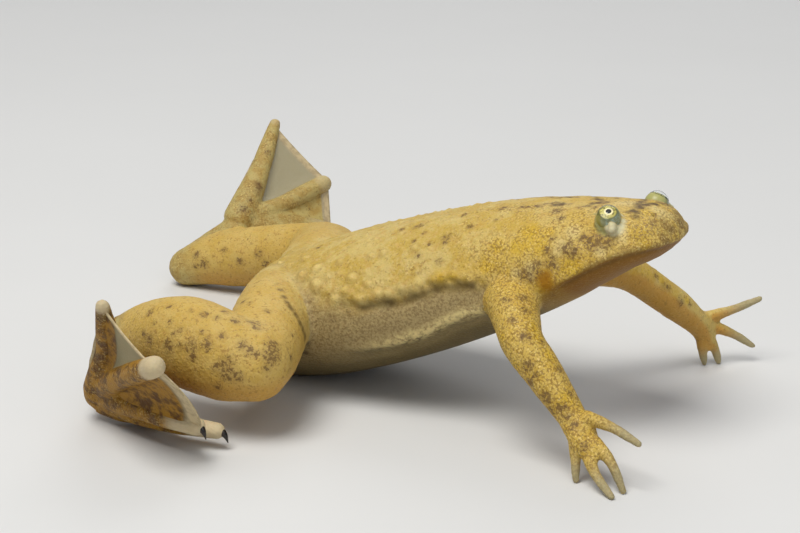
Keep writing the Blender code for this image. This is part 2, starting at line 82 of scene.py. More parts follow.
# Limbs: x, y, z of the core, half width and half height, from root to end.
ARM = {
    RIGHT: (
        (7.0, -2.6, 11.4, 2.1, 2.1),
        (9.7, -5.9, 11.3, 2.2, 2.2),
        (11.2, -7.8, 10.4, 1.95, 1.95),
        (12.5, -9.3, 9.2, 1.75, 1.75),
        (13.9, -9.7, 8.0, 1.65, 1.65),
        (15.7, -10.2, 6.3, 1.5, 1.45),
        (17.7, -10.8, 4.4, 1.25, 1.1),
        (18.8, -11.5, 3.55, 1.35, 0.9),
        (20.0, -12.2, 2.6, 1.1, 0.7),
    ),
    LEFT: (
        (7.0, 2.6, 11.4, 2.1, 2.1),
        (9.6, 6.0, 11.3, 2.15, 2.1),
        (11.0, 8.6, 10.6, 1.85, 1.8),
        (12.4, 11.0, 9.55, 1.6, 1.6),
        (14.1, 13.4, 7.5, 1.5, 1.5),
        (15.3, 15.1, 5.9, 1.45, 1.45),
        (16.15, 16.2, 4.7, 1.3, 1.25),
        (16.8, 17.2, 3.5, 1.25, 1.05),
        (17.2, 17.5, 2.4, 1.0, 0.8),
    ),
}
# Each finger and toe is the three places that its core passes, from its root to its tip.
FINGERS = {
    RIGHT: (
        ((19.0, -11.0, 4.8), (21.7, -11.6, 4.5), (24.0, -12.2, 3.9)),
        ((20.2, -11.9, 3.2), (21.9, -12.6, 2.1), (23.2, -13.1, 0.2)),
        ((19.6, -12.3, 2.7), (20.95, -13.45, 1.35), (22.9, -14.55, 0.2)),
        ((18.5, -11.9, 2.8), (18.85, -12.5, 1.6), (19.1, -12.9, 0.2)),
    ),
    LEFT: (
        ((17.1, 17.6, 4.4), (18.8, 19.2, 4.9), (20.9, 20.6, 5.9)),
        ((17.4, 18.0, 3.6), (19.1, 19.4, 2.6), (20.5, 20.4, 1.5)),
        ((17.4, 17.7, 2.5), (17.9, 18.1, 1.3), (18.15, 18.3, 0.2)),
        ((17.0, 17.0, 2.5), (17.1, 17.1, 1.3), (17.2, 17.4, 0.2)),
    ),
}
FINGER_ROOT, FINGER_TIP = 0.55, 0.3
THIGH = {
    RIGHT: (
        (-13.9, -2.5, 6.5, 3.4, 3.6),
        (-12.6, -6.0, 6.9, 3.4, 3.6),
        (-11.2, -9.4, 6.9, 3.4, 3.5),
        (-9.9, -12.4, 6.5, 3.4, 3.35),
        (-8.7, -15.0, 6.2, 3.25, 3.15),
        (-7.9, -16.9, 6.15, 3.0, 3.0),
    ),
    LEFT: (
        (-14.4, 2.5, 6.8, 3.9, 3.4),
        (-16.0, 7.0, 6.9, 3.9, 3.4),
        (-19.2, 12.2, 6.1, 3.5, 3.1),
        (-22.4, 15.8, 5.1, 2.8, 2.8),
    ),
}
SHANK = {
    RIGHT: (
        (-7.9, -16.9, 6.15, 3.0, 3.1),
        (-10.0, -17.3, 6.4, 3.35, 3.6),
        (-12.4, -17.2, 6.8, 3.5, 3.85),
        (-14.9, -16.9, 6.95, 3.4, 3.8),
        (-18.4, -16.2, 6.6, 2.7, 3.0),
        (-22.1, -15.2, 5.7, 1.8, 1.85),
    ),
    LEFT: (
        (-22.4, 15.8, 5.1, 2.8, 2.8),
        (-27.2, 15.6, 4.05, 2.8, 2.95),
        (-31.1, 15.0, 3.3, 2.6, 2.85),
        (-34.0, 14.5, 2.7, 2.25, 2.4),
        (-36.5, 14.1, 1.8, 1.85, 1.9),
    ),
}
ANKLE = {
    RIGHT: (
        (-22.1, -15.2, 5.7, 1.8, 1.8),
        (-21.9, -17.8, 4.0, 1.6, 1.5),
        (-20.9, -20.2, 2.35, 1.6, 1.45),
    ),
    LEFT: (
        (-36.5, 14.1, 1.8, 1.85, 1.85),
        (-35.2, 15.6, 3.4, 1.5, 1.45),
        (-32.6, 17.0, 5.6, 1.6, 1.3),
    ),
}
LIMB_CORES = {"arm": ARM, "thigh": THIGH, "shank": SHANK, "ankle": ANKLE}
# How many rings each limb's loft has, and how many sides.
LIMB_GRIDS = {"arm": (40, 32), "thigh": (30, 36), "shank": (30, 36), "ankle": (14, 28)}
# Toes run from the first, which is the inner one, to the fifth.
TOES = {
    RIGHT: (
        ((-20.6, -20.4, 1.5), (-18.2, -19.9, 0.8), (-15.6, -18.6, 0.35)),
        ((-20.5, -20.6, 2.0), (-15.0, -21.4, 1.6), (-8.9, -20.9, 1.55)),
        ((-20.4, -20.7, 2.5), (-14.8, -22.9, 2.9), (-8.75, -23.9, 2.95)),
        ((-20.4, -20.8, 3.0), (-14.9, -24.6, 6.3), (-9.6, -28.0, 9.05)),
        ((-20.5, -20.7, 3.1), (-17.95, -22.9, 7.5), (-16.1, -25.8, 12.3)),
    ),
    LEFT: (
        ((-32.0, 17.6, 6.1), (-29.3, 19.4, 4.8), (-27.0, 20.6, 3.4)),
        ((-32.0, 17.6, 6.1), (-28.9, 20.5, 5.0), (-26.2, 22.6, 3.6)),
        ((-32.1, 17.6, 6.2), (-29.4, 21.4, 5.6), (-26.9, 24.4, 4.6)),
        ((-32.1, 17.5, 6.3), (-30.3, 22.2, 7.1), (-28.2, 26.3, 8.6)),
        ((-32.5, 17.5, 6.7), (-33.1, 21.9, 9.9), (-34.0, 26.5, 14.1)),
    ),
}
# Each toe's radius at root and tip, and how much wider than high it is.
TOE_SIZES = (
    (0.85, 0.4, 1.0), (0.9, 0.62, 1.0), (0.95, 0.68, 1.0), (1.0, 0.82, 1.0), (1.3, 0.46, 1.15),
)
CLAWED = 3
# The far foot is the paler one; painted shadow darkens the near foot, which lies in shade.
FOOT_SHADOW = {RIGHT: 1.0, LEFT: 0.45}
CLAW_STARTS, CLAW_LENGTH, CLAW_DROOP = 0.25, 0.95, 0.85
CLAW_TAPER = ((0.0, 0.34), (0.3, 0.31), (0.6, 0.22), (0.85, 0.11), (1.0, 0.04))

EYE_RADIUS = 1.0
EYE_AT = Vector((17.15, 3.95, 18.8))
EYE_SHIFT = {RIGHT: Vector((0.0, 0.0, 0.0)), LEFT: Vector((0.65, 0.0, -0.6))}
EYE_LOOKS = Vector((0.18, 0.55, 0.82)).normalized()
PUPIL_LOOKS = Vector((0.22, 0.51, 0.83)).normalized()
IRIS_EDGE, IRIS_DOME = math.radians(44.0), 0.1
# The cornea: how far it reaches, how far off the eyeball its two faces lie, and its bulge.
CORNEA_EDGE, CORNEA_OUTER, CORNEA_INNER, CORNEA_BULGE = math.radians(55), 0.03, 0.005, 0.05
# Directions towards the front and the middle of the head, which the eye's colours follow.
EYE_FRONT, EYE_MIDDLE = Vector((0.75, 0.6, 0.0)).normalized(), Vector((0.1, -0.9, 0.4)).normalized()
LID_RING, LID_ROLL, LID_SET_BACK = 0.95, 0.25, 0.32
FEELER_FROM_EYE = Vector((0.55, 0.72, -0.45))
FEELER_OUT = Vector((0.6, 0.7, -0.3)).normalized()
FEELER_TAPER = ((-0.35, 0.42), (0.1, 0.56), (0.4, 0.4))

# Lines on the flanks: distance along the body's axis and height above it.
MOUTH = ((13.6, -1.65), (14.6, -1.4), (17.4, -0.74), (20.4, -0.38), (21.7, -0.55), (22.8, -1.0))
FLANK_FOLD = (
    (-13.0, 5.0), (-9.2, 4.1), (-6.5, 2.4), (-3.9, 1.25), (-2.4, 0.87), (-0.2, 0.56),
    (1.6, 0.63), (4.4, 0.82), (6.3, 0.55), (8.4, 0.25),
)
FLANK_RIDGE = ((-6.2, -2.8), (-2.7, -3.0), (0.0, -2.95), (2.4, -2.67), (4.0, -2.3), (7.5, -2.0))

# Reliefs along these lines: height, distance above the line and width.
UPPER_LIP, MOUTH_CREASE = (0.12, 0.35, 0.35), (-0.2, -0.05, 0.2)
FOLD_RIM, FOLD_GROOVE = (0.3, 0.6, 0.55), (-0.3, -0.25, 0.45)
RIDGE_CREST, RIDGE_FOOT = (0.3, 0.2, 0.5), (-0.2, -0.9, 0.7)
CHIN_HOLLOW, SNOUT_SWELLING, NOTCH_DEPTH = 0.16, 0.32, 0.25
LARGE_WART_RISE, SMALL_WART_RISE, GRAIN_RISE = 0.3, 0.13, 0.09
# Where along the body a form starts and is full, or is still full and ends.
JAW_STARTS, MOUTH_DEEPENS, SNOUT_SWELLS = (13.0, 15.5), (17.0, 21.0), (18.5, 21.8)
FOLD_STARTS, FOLD_FILLS, FOLD_ENDS = (-13.5, -9.0), (-6.0, -1.0), (9.5, 6.5)
RIDGE_STARTS, RIDGE_ENDS = (-7.0, -2.0), (9.0, 7.0)
# The same for the colours.
HEAD_STARTS, THROAT_STARTS, LIP_STARTS = (11.5, 15.0), (9.0, 16.0), (16.0, 17.5)
REAR_ENDS, FLANK_SOFTENS, FLANK_ENDS = (-14.0, -11.0), (-1.0, -6.0), (11.0, 8.5)
# Where the painted highlight along the flank's ridge starts and ends.
RIDGE_HIGHLIGHT_STARTS, RIDGE_HIGHLIGHT_ENDS = (-7.0, 1.0), (9.0, 7.0)
FOLD_LINE_STARTS, FOLD_LINE_ENDS, CROWD_STARTS = (-6.0, -2.5), (9.6, 8.2), (3.0, 11.0)

VOXEL = 0.17
# How strongly the skin is smoothed on body and digits, how often, where that starts away from
# an eye, and what is given back to the digits.
SMOOTH_BODY, SMOOTH_DIGITS, SMOOTH_ROUNDS, SMOOTH_FROM_EYE = 0.5, 0.12, 24, (1.7, 3.0)
TOE_REGAIN, FINGER_REGAIN = 0.09, 0.02
# Small warts: how many are tried, where along the body and round it (in half turns), and sizes.
SMALL_WART_SEED, SMALL_WART_TRIES = 3, 420
SMALL_WART_ALONG, SMALL_WART_ROUND, SMALL_WART_SIZES = (-16.0, 8.0), (0.08, 0.92), (0.16, 0.34)
SMALL_WART_LOWEST, SMALL_WARTS_APART = 1.4, 1.6
SKIN_TRIANGLES = 190000
FLOOR_SIZE = 1.6

# The camera: where it stands seen from the target, in degrees and millimetres.
VIEW_AZIMUTH, VIEW_ELEVATION = math.radians(30.0), math.radians(17.0)
VIEW_TARGET = Vector((0.0, -7.0, 13.0))
VIEW_DISTANCE = 182.0
LENS, SENSOR = 100.0, 36.0
PICTURE_WIDTH, PICTURE_HEIGHT = 800, 533

Ring = namedtuple("Ring", "centre side up down upper lower")
# Angles in degrees at which rings round off the end of a limb, and an end of the trunk.
CAP_ANGLES = (15, 30, 45, 60, 75, 86)
END_ANGLES = (89, 80, 70, 60, 50, 40, 30, 20, 10)
TRUNK_RINGS, TRUNK_SIDES = 60, 56
# How much a digit swells at nine places from root to tip.
DIGIT_SWELLS = (0.0, 0.02, 0.06, 0.02, -0.03, 0.02, 0.06, 0.02, 0.0)


def on_side(point, side):
    """A point of the left side, or its mirror image on the right."""
    return Vector((point.x, point.y * side, point.z))


def frame_shift():
    """From the frog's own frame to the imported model's, in millimetres, by the right eye."""
    low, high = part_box("eye_right")
    return (low + high) / 2 / MM - on_side(EYE_AT, RIGHT)


TO_MODEL = Matrix.Scale(MM, 4) @ Matrix.Translation(frame_shift())


def through(keys, count):
    """Rows spaced evenly along a smooth curve through rows of x, y, z and any sizes."""
    places = [0.0]
    for a, b in zip(keys, keys[1:]):
        places.append(places[-1] + math.dist(a[:3], b[:3]))

    def slope(i, k):
        before, after = max(i - 1, 0), min(i + 1, len(keys) - 1)
        return (keys[after][k] - keys[before][k]) / (places[after] - places[before])

    rows = []
    for n in range(count):
        at = places[-1] * n / (count - 1)
        i = max(j for j in range(len(keys) - 1) if places[j] <= at + 1e-9)
        span = places[i + 1] - places[i]
        t = (at - places[i]) / span
        row = []
        for k in range(len(keys[0])):
            start, end = keys[i][k], keys[i + 1][k]
            leave, arrive = slope(i, k) * span, slope(i + 1, k) * span
            row.append(
                start * (2 * t**3 - 3 * t**2 + 1)
                + leave * (t**3 - 2 * t**2 + t)
                + end * (3 * t**2 - 2 * t**3)
                + arrive * (t**3 - t**2)
            )
        rows.append(tuple(row))
    return rows


def ring_point(ring, turn):
    """The point of a ring at an angle, where the two halves are superellipses."""
    c, s = math.cos(turn), math.sin(turn)
    power = ring.upper if s >= 0 else ring.lower
    across = math.copysign(abs(c) ** power, c)
    rise = abs(s) ** power
    return ring.centre + ring.side * across + (ring.up if s >= 0 else ring.down) * rise


def loft(rings, sides):
    """A closed bmesh through rings, whose first and last ring shrink to a point."""
    bm = bmesh.new()
    turn = bm.verts.layers.float.new("turn")
    verts = bmesh.ops.create_circle(bm, segments=sides, radius=1.0)["verts"]
    start = verts
    edges = list(bm.edges)
    for vert in verts:
        vert[turn] = math.atan2(vert.co.y, vert.co.x)
        vert.co = ring_point(rings[0], vert[turn])
    for ring in rings[1:]:
        grown = bmesh.ops.extrude_edge_only(bm, edges=edges)["geom"]
        verts = [g for g in grown if isinstance(g, bmesh.types.BMVert)]
        new = set(verts)
        edges = [g for g in grown if isinstance(g, bmesh.types.BMEdge) and new.issuperset(g.verts)]
        for vert in verts:
            vert.co = ring_point(ring, vert[turn])
    for tip in (start, verts):
        middle = sum((v.co for v in tip), Vector()) / len(tip)
        bmesh.ops.pointmerge(bm, verts=tip, merge_co=middle)
    bmesh.ops.recalc_face_normals(bm, faces=bm.faces)
    return bm


def tube(keys, steps, sides, hint=UP):
    """A limb: rings across its core, with rounded ends."""
    rows = through(keys, steps)
    points = [Vector(row[:3]) for row in rows]
    rings = []
    for i, row in enumerate(rows):
        along = (points[min(i + 1, steps - 1)] - points[max(i - 1, 0)]).normalized()
        side = along.cross(hint).normalized()
        rings.append((points[i], along, side * row[3], side.cross(along) * row[4]))
    caps = {}
    for end, sign in ((0, -1), (-1, 1)):
        centre, along, side, up = rings[end]
        reach = (side.length + up.length) / 2
        caps[end] = []
        for angle in (math.radians(a) for a in CAP_ANGLES):
            place = centre + along * sign * reach * math.sin(angle)
            caps[end].append((place, side * math.cos(angle), up * math.cos(angle)))
    sections = caps[0][::-1] + [(c, side, up) for c, _, side, up in rings] + caps[-1]
    return loft([Ring(c, side, up, -up, 1.0, 1.0) for c, side, up in sections], sides)


BODY_CURVE = np.array(through([(row[0], 0.0, 0.0) + row[1:] for row in BODY], 241))


def body_place(along, across, height):
    """A point of the pitched body in the frog's frame."""
    c, s = math.cos(BODY_PITCH), math.sin(BODY_PITCH)
    return BODY_CENTRE + Vector((along * c - height * s, across, along * s + height * c))


def body_section(along):
    """Half width, widest line, top, bottom and squareness at distances along the axis."""
    along = np.asarray(along, float)
    columns = [np.interp(along, BODY_CURVE[:, 0], BODY_CURVE[:, k]) for k in range(3, 9)]
    half, middle, top, bottom, upper, lower = columns
    into_nose = (along - NOSE_END + SNOUT_ROUND) / SNOUT_ROUND
    into_rump = (TAIL_END + RUMP_ROUND - along) / RUMP_ROUND
    closing = np.clip(np.maximum(into_nose, into_rump), 0.0, 1.0)
    share = np.sqrt(1 - closing**2)
    high = middle + (top - middle) * share
    low = middle + (bottom - middle) * share
    return half * share, middle, high, low, upper, lower


def make_trunk():
    """Head and trunk in one loft."""
    rings = []
    quarter = [math.radians(a) for a in END_ANGLES]
    rear = [TAIL_END + RUMP_ROUND * (1 - math.sin(a)) for a in quarter]
    front = [NOSE_END - SNOUT_ROUND * (1 - math.sin(a)) for a in reversed(quarter)]
    start, end = TAIL_END + RUMP_ROUND, NOSE_END - SNOUT_ROUND
    for along in rear + list(np.linspace(start, end, TRUNK_RINGS)) + front:
        half, middle, top, bottom, upper, lower = (float(v) for v in body_section(along))
        centre = body_place(along, 0, middle)
        rise = body_place(along, 0, top) - centre
        fall = body_place(along, 0, bottom) - centre
        rings.append(Ring(centre, Vector((0, half, 0)), rise, fall, upper, lower))
    return loft(rings, TRUNK_SIDES)


def digit_keys(path, root, tip, width=1.0):
    """A finger or toe: a taper with two slight swellings at its joints."""
    rows = through(path, len(DIGIT_SWELLS))
    keys = []
    for i, (row, swell) in enumerate(zip(rows, DIGIT_SWELLS)):
        size = (root + (tip - root) * i / (len(rows) - 1)) * (1 + swell)
        keys.append((*row, size * width, size))
    return keys


def finger_cores(side):
    return [digit_keys(path, FINGER_ROOT, FINGER_TIP) for path in FINGERS[side]]


def toe_cores(side):
    return [digit_keys(path, *sizes) for path, sizes in zip(TOES[side], TOE_SIZES)]


def eye_centre(side):
    return on_side(EYE_AT, side) + EYE_SHIFT[side]


def spin(bm, looks, centre, steps):
    """Turns a profile into a round piece about the direction that it looks in."""
    geom = list(bm.verts) + list(bm.edges)
    turn = 2 * math.pi
    bmesh.ops.spin(bm, geom=geom, cent=(0, 0, 0), axis=UP, angle=turn, steps=steps, use_merge=True)
    bmesh.ops.remove_doubles(bm, verts=bm.verts, dist=1e-4)
    bmesh.ops.recalc_face_normals(bm, faces=bm.faces)
    bm.transform(Matrix.Translation(centre) @ looks.to_track_quat("Z", "Y").to_matrix().to_4x4())


def eyelid(side):
    """The rolled rim of skin round the eyeball."""
    looks = on_side(EYE_LOOKS, side)
    upright = Matrix.Translation((LID_RING, 0, 0)) @ Matrix.Rotation(math.pi / 2, 4, "X")
    bm = bmesh.new()
    bmesh.ops.create_circle(bm, segments=12, radius=LID_ROLL, matrix=upright)
    spin(bm, looks, eye_centre(side) - looks * LID_SET_BACK, 40)
    return bm


def feeler_core(side):
    """The core of the short feeler at the lower edge of each eye, with its radius."""
    root = eye_centre(side) + on_side(FEELER_FROM_EYE, side)
    out = on_side(FEELER_OUT, side)
    return [(*(root + out * reach), radius, radius) for reach, radius in FEELER_TAPER]


def as_object(name, bm):
    mesh = bpy.data.meshes.new(name)
    bm.to_mesh(mesh)
    bm.free()
    item = bpy.data.objects.new(name, mesh)
    bpy.context.scene.collection.objects.link(item)
    return item


def apply_modifiers(item):
    """Turns what an object's modifiers show into its own mesh."""
    bpy.context.view_layer.update()
    shaped = item.evaluated_get(bpy.context.evaluated_depsgraph_get())
    mesh = bpy.data.meshes.new_from_object(shaped)
    item.modifiers.clear()
    item.data = mesh


class Limb:
    """The core of a limb or digit, against which places on the skin are measured."""

    def __init__(self, kind, keys):
        self.kind = kind
        self.rows = np.array(through(keys, 60))

    def measure(self, points):
        """How far points are from the core, in its own radii, and how far along it they are."""
        nearest = np.full(len(points), np.inf)
        along = np.zeros(len(points))
        for i, row in enumerate(self.rows):
            away = np.linalg.norm(points - row[:3], axis=1) / ((row[3] + row[4]) / 2)
            closer = away < nearest
            nearest[closer] = away[closer]
            along[closer] = i / (len(self.rows) - 1)
        return nearest, along


def all_limbs():
    limbs = []
    for side in (RIGHT, LEFT):
        for kind, cores in LIMB_CORES.items():
            limbs.append(Limb(kind, cores[side]))
        limbs += [Limb("finger", keys) for keys in finger_cores(side)]
        limbs += [Limb(f"toe_{i + 1}", keys) for i, keys in enumerate(toe_cores(side))]
    return limbs


def joined_lofts():
    """All lofts of the body in one bmesh, still crossing one another."""
    lofts = [make_trunk()]
    for side in (RIGHT, LEFT):
        for kind, (steps, sides) in LIMB_GRIDS.items():
            lofts.append(tube(LIMB_CORES[kind][side], steps, sides))
        lofts += [tube(keys, 20, 16) for keys in finger_cores(side)]
        lofts += [tube(keys, 24, 16) for keys in toe_cores(side)]
        lofts += [eyelid(side), tube(feeler_core(side), 5, 12)]
    whole = bmesh.new()
    for bm in lofts:
        take_in(whole, bm)
    return whole


def take_in(whole, bm):
    """Adds a bmesh to another one and frees it."""
    mesh = bpy.data.meshes.new("piece")
    bm.to_mesh(mesh)
    bm.free()
    whole.from_mesh(mesh)
    bpy.data.meshes.remove(mesh)


def places(mesh):
    values = np.empty(len(mesh.vertices) * 3)
    mesh.vertices.foreach_get("co", values)
    return values.reshape(-1, 3)


def directions(mesh):
    values = np.empty(len(mesh.vertices) * 3)
    mesh.vertex_normals.foreach_get("vector", values)
    return values.reshape(-1, 3)


def set_places(mesh, points):
    mesh.vertices.foreach_set("co", points.astype(np.float32).ravel())
    mesh.update()


def smoothed(mesh, weight, rounds):
    """Moves each vertex towards the middle of its neighbours, by its own weight."""
    points = places(mesh)
    pairs = np.empty(len(mesh.edges) * 2, int)
    mesh.edges.foreach_get("vertices", pairs)
    a, b = pairs.reshape(-1, 2).T
    count = np.bincount(a, minlength=len(points)) + np.bincount(b, minlength=len(points))
    for _ in range(rounds):
        total = np.empty_like(points)
        for k in range(3):
            total[:, k] = np.bincount(a, points[b, k], len(points))
            total[:, k] += np.bincount(b, points[a, k], len(points))
        points += weight[:, None] * (total / count[:, None] - points)
    set_places(mesh, points)


def step(value, low, high):
    """A smooth rise from 0 at low to 1 at high, or a fall where high is the lower one."""
    t = np.clip((value - low) / (high - low), 0, 1)
    return t * t * (3 - 2 * t)


def bell(value, width):
    return np.exp(-((value / width) ** 2))


def in_body(points):
    """Places along, across and above the body's axis."""
    c, s = math.cos(BODY_PITCH), math.sin(BODY_PITCH)
    rel = points - np.array(BODY_CENTRE)
    return rel[:, 0] * c + rel[:, 2] * s, rel[:, 1], rel[:, 2] * c - rel[:, 0] * s


def line_height(line, along):
    keys = np.array(through([(a, 0.0, h) for a, h in line], 60))
    return np.interp(along, keys[:, 0], keys[:, 2])


def trunk_depth(points):
    """How far points are from the trunk's axis, where 1 is its skin."""
    along, across, height = in_body(points)
    half, middle, high, low, _, _ = body_section(along)
    reach = np.where(height > middle, high - middle, middle - low)
    reach, half = np.maximum(reach, 0.05), np.maximum(half, 0.05)
    return np.sqrt((across / half) ** 2 + ((height - middle) / reach) ** 2)


def rough(points, scale, seed):
    """Noise from -1 to 1 at each point."""
    offset = Vector((seed * 17.3, seed * 5.1, seed * 9.7))
    return np.array([noise.noise(Vector(p) * scale + offset) for p in points])


class Body:
    """What is known of each vertex of the skin: its part, and its places on body and limbs."""

    def __init__(self, mesh, limbs):
        self.points = places(mesh)
        self.normals = directions(mesh)
        self.along, _, self.height = in_body(self.points)
        self.trunk_depth = trunk_depth(self.points)
        self.limb = np.full(len(self.points), -1)
        self.limb_along = np.zeros(len(self.points))
        self.limb_depth = np.full(len(self.points), np.inf)
        for i, limb in enumerate(limbs):
            depth, along = limb.measure(self.points)
            closer = depth < self.limb_depth
            self.limb[closer] = i
            self.limb_along[closer] = along[closer]
            self.limb_depth[closer] = depth[closer]
        self.on_trunk = self.trunk_depth < self.limb_depth * 1.02
        self.trunk = self.on_trunk.astype(float)
        self.limbs = limbs

    def of(self, *kinds):
        """Which vertices belong to limbs of these kinds."""
        chosen = [i for i, limb in enumerate(self.limbs) if limb.kind in kinds]
        return np.isin(self.limb, chosen) & ~self.on_trunk

    def measure_lines(self, warp=0.0):
        """How far above the mouth, the flank's fold and its ridge each vertex is."""
        self.above_mouth = self.height - line_height(MOUTH, self.along)
        self.above_fold = self.height - line_height(FLANK_FOLD, self.along) + warp * 0.5
        self.above_ridge = self.height - line_height(FLANK_RIDGE, self.along) + warp * 0.4

    def away(self, place):
        """Each vertex's distance from a place."""
        return np.linalg.norm(self.points - np.array(place), axis=1)


TOE_KINDS = ("toe_1", "toe_2", "toe_3", "toe_4", "toe_5")


def small_warts():
    """Random low warts over the rear of the back, as places and radii."""
    pick = np.random.default_rng(SMALL_WART_SEED)
    found = []
    for _ in range(SMALL_WART_TRIES):
        along = pick.uniform(*SMALL_WART_ALONG)
        turn = pick.uniform(*SMALL_WART_ROUND) * math.pi
        radius = pick.uniform(*SMALL_WART_SIZES)
        half, middle, high, _, upper, _ = (float(v) for v in body_section(along))
        across = math.copysign(abs(math.cos(turn)) ** upper, math.cos(turn)) * half
        height = middle + math.sin(turn) ** upper * (high - middle)
        place = body_place(along, across, height)
        room = [(place - other).length / (radius + size) for other, size in found]
        if height > SMALL_WART_LOWEST and min(room, default=math.inf) > SMALL_WARTS_APART:
            found.append((place, radius))
    return found


def nearness(points, marks, reach):
    """A bell over each mark, where reach is its width in radii."""
    value = np.zeros(len(points))
    for place, radius in marks:
        rel = points - np.array(place)
        near = np.abs(rel).max(axis=1) < 3 * radius
        away = np.linalg.norm(rel[near], axis=1)
        value[near] = np.maximum(value[near], bell(away, radius * reach))
    return value


def rings_round(points, marks):
    """A soft ring round each mark."""
    value = np.zeros(len(points))
    for place, radius in marks:
        away = np.linalg.norm(points - np.array(place), axis=1)
        value = np.maximum(value, bell(away - 1.25 * radius, 0.3 * radius))
    return value


def both_sides(marks):
    """Marks of the near side and the same ones on the far side, a little further back."""
    mirrored = [(Vector((place.x - 0.5, -place.y, place.z)), radius) for place, radius in marks]
    return marks + mirrored


def on_both_eyes(marks):
    """Marks of the near eye and the same ones mirrored on the far eye."""
    mirrored = []
    for place, radius in marks:
        from_eye = place - eye_centre(RIGHT)
        mirrored.append((eye_centre(LEFT) + on_side(from_eye, RIGHT), radius))
    return marks + mirrored


def band(above, shape, strength=1.0):
    """A low relief along a line of the body."""
    height, offset, width = shape
    return height * strength * bell(above - offset, width)


def trunk_relief(body):
    """The lips, the chin, the snout's underside and the folds of the flanks, as heights."""
    along, height = body.along, body.height
    deeper = 0.5 + 0.5 * step(along, *MOUTH_DEEPENS)
    jaw = band(body.above_mouth, UPPER_LIP) + band(body.above_mouth, MOUTH_CREASE, deeper)
    jaw -= CHIN_HOLLOW * step(body.above_mouth, 0.0, -0.25) * step(body.above_mouth, -3.0, -0.6)
    move = jaw * step(along, *JAW_STARTS)
    move += SNOUT_SWELLING * step(along, *SNOUT_SWELLS) * step(height, 0.3, -0.7)
    flank = 0.3 * step(along, *FOLD_STARTS) + 0.7 * step(along, *FOLD_FILLS)
    uneven = 1 + 0.8 * rough(body.points, 0.9, 4)
    fold = band(body.above_fold, FOLD_RIM) + band(body.above_fold, FOLD_GROOVE)
    move += flank * step(along, *FOLD_ENDS) * uneven * fold
    ridge = band(body.above_ridge, RIDGE_CREST) + band(body.above_ridge, RIDGE_FOOT)
    move += ridge * step(along, *RIDGE_STARTS) * step(along, *RIDGE_ENDS)
    return move * body.trunk


def sculpt(mesh, limbs, warts, marks):
    """Folds, warts, lips and nostrils, as moves along the skin's own direction."""
    body = Body(mesh, limbs)
    body.measure_lines()
    move = trunk_relief(body)
    move += body.trunk * LARGE_WART_RISE * nearness(body.points, warts["large"], 0.75)
    move += body.trunk * SMALL_WART_RISE * nearness(body.points, warts["small"], 0.8)
    grain = rough(body.points, 1.1, 1) * 0.5 + rough(body.points, 2.3, 2) * 0.5
    limb_size = np.where(body.of("finger", *TOE_KINDS), 0.15, 0.6)
    move += grain * GRAIN_RISE * np.where(body.on_trunk, step(body.height, -3.0, 0.5), limb_size)
    for place in marks["nostrils"]:
        pit = body.away(place)
        move += 0.07 * bell(pit, 0.4) - 0.45 * bell(pit, 0.17)
    for place, radius in marks["lid notches"]:
        move -= NOTCH_DEPTH * bell(body.away(place), radius)
    points = body.points + body.normals * move[:, None]
    points[:, 2] = np.maximum(points[:, 2], 0.0)
    set_places(mesh, points)


def make_skin(limbs):
    """One closed skin over the whole frog, and the places of its warts, nostrils and notches."""
    skin = as_object("frog_skin", joined_lofts())
    fuse = skin.modifiers.new("fuse", "REMESH")
    fuse.mode = "VOXEL"
    fuse.voxel_size = VOXEL
    fuse.use_smooth_shade = True
    apply_modifiers(skin)
    body = Body(skin.data, limbs)
    slender = body.of("finger", *TOE_KINDS)
    near_eye = np.minimum(body.away(eye_centre(LEFT)), body.away(eye_centre(RIGHT)))
    weight = np.where(slender, SMOOTH_DIGITS, SMOOTH_BODY)
    weight *= 0.12 + 0.88 * step(near_eye, *SMOOTH_FROM_EYE)
    smoothed(skin.data, weight, SMOOTH_ROUNDS)
    regained = np.where(body.of(*TOE_KINDS), TOE_REGAIN, FINGER_REGAIN * slender)
    set_places(skin.data, places(skin.data) + directions(skin.data) * regained[:, None])
    tree = sight_tree(skin.data)
    warts = {"large": both_sides(seen_marks(tree, LARGE_WARTS)), "small": small_warts()}
    nostril = seen_marks(tree, (NOSTRIL,))[0][0]
    marks = {
        "nostrils": [nostril, on_side(nostril, LEFT)],
        "lid notches": on_both_eyes(seen_marks(tree, LID_NOTCHES)),
    }
    sculpt(skin.data, limbs, warts, marks)
    smoothed(skin.data, np.full(len(body.points), 0.3), 1)
    thin_out = skin.modifiers.new("thin out", "DECIMATE")
    thin_out.ratio = min(1.0, SKIN_TRIANGLES / (2 * len(skin.data.polygons)))
    apply_modifiers(skin)
    skin.data.shade_smooth()
    return skin, warts, marks


def camera_back():
    """The direction from the target to the camera."""
    e = VIEW_ELEVATION
    c = math.cos(e)
    return Vector((math.sin(VIEW_AZIMUTH) * c, -math.cos(VIEW_AZIMUTH) * c, math.sin(e)))


def sight_line(x, y):
    """Where the camera stands and the direction in which it sees a pixel of its picture."""
    back = camera_back()
    right = Vector((math.cos(VIEW_AZIMUTH), math.sin(VIEW_AZIMUTH), 0))
    up = back.cross(right)
    focal = LENS / SENSOR * PICTURE_WIDTH
    ray = right * (x - PICTURE_WIDTH / 2) - up * (y - PICTURE_HEIGHT / 2) - back * focal
    return VIEW_TARGET + back * VIEW_DISTANCE, ray.normalized()


PIXEL = VIEW_DISTANCE / (LENS / SENSOR * PICTURE_WIDTH)

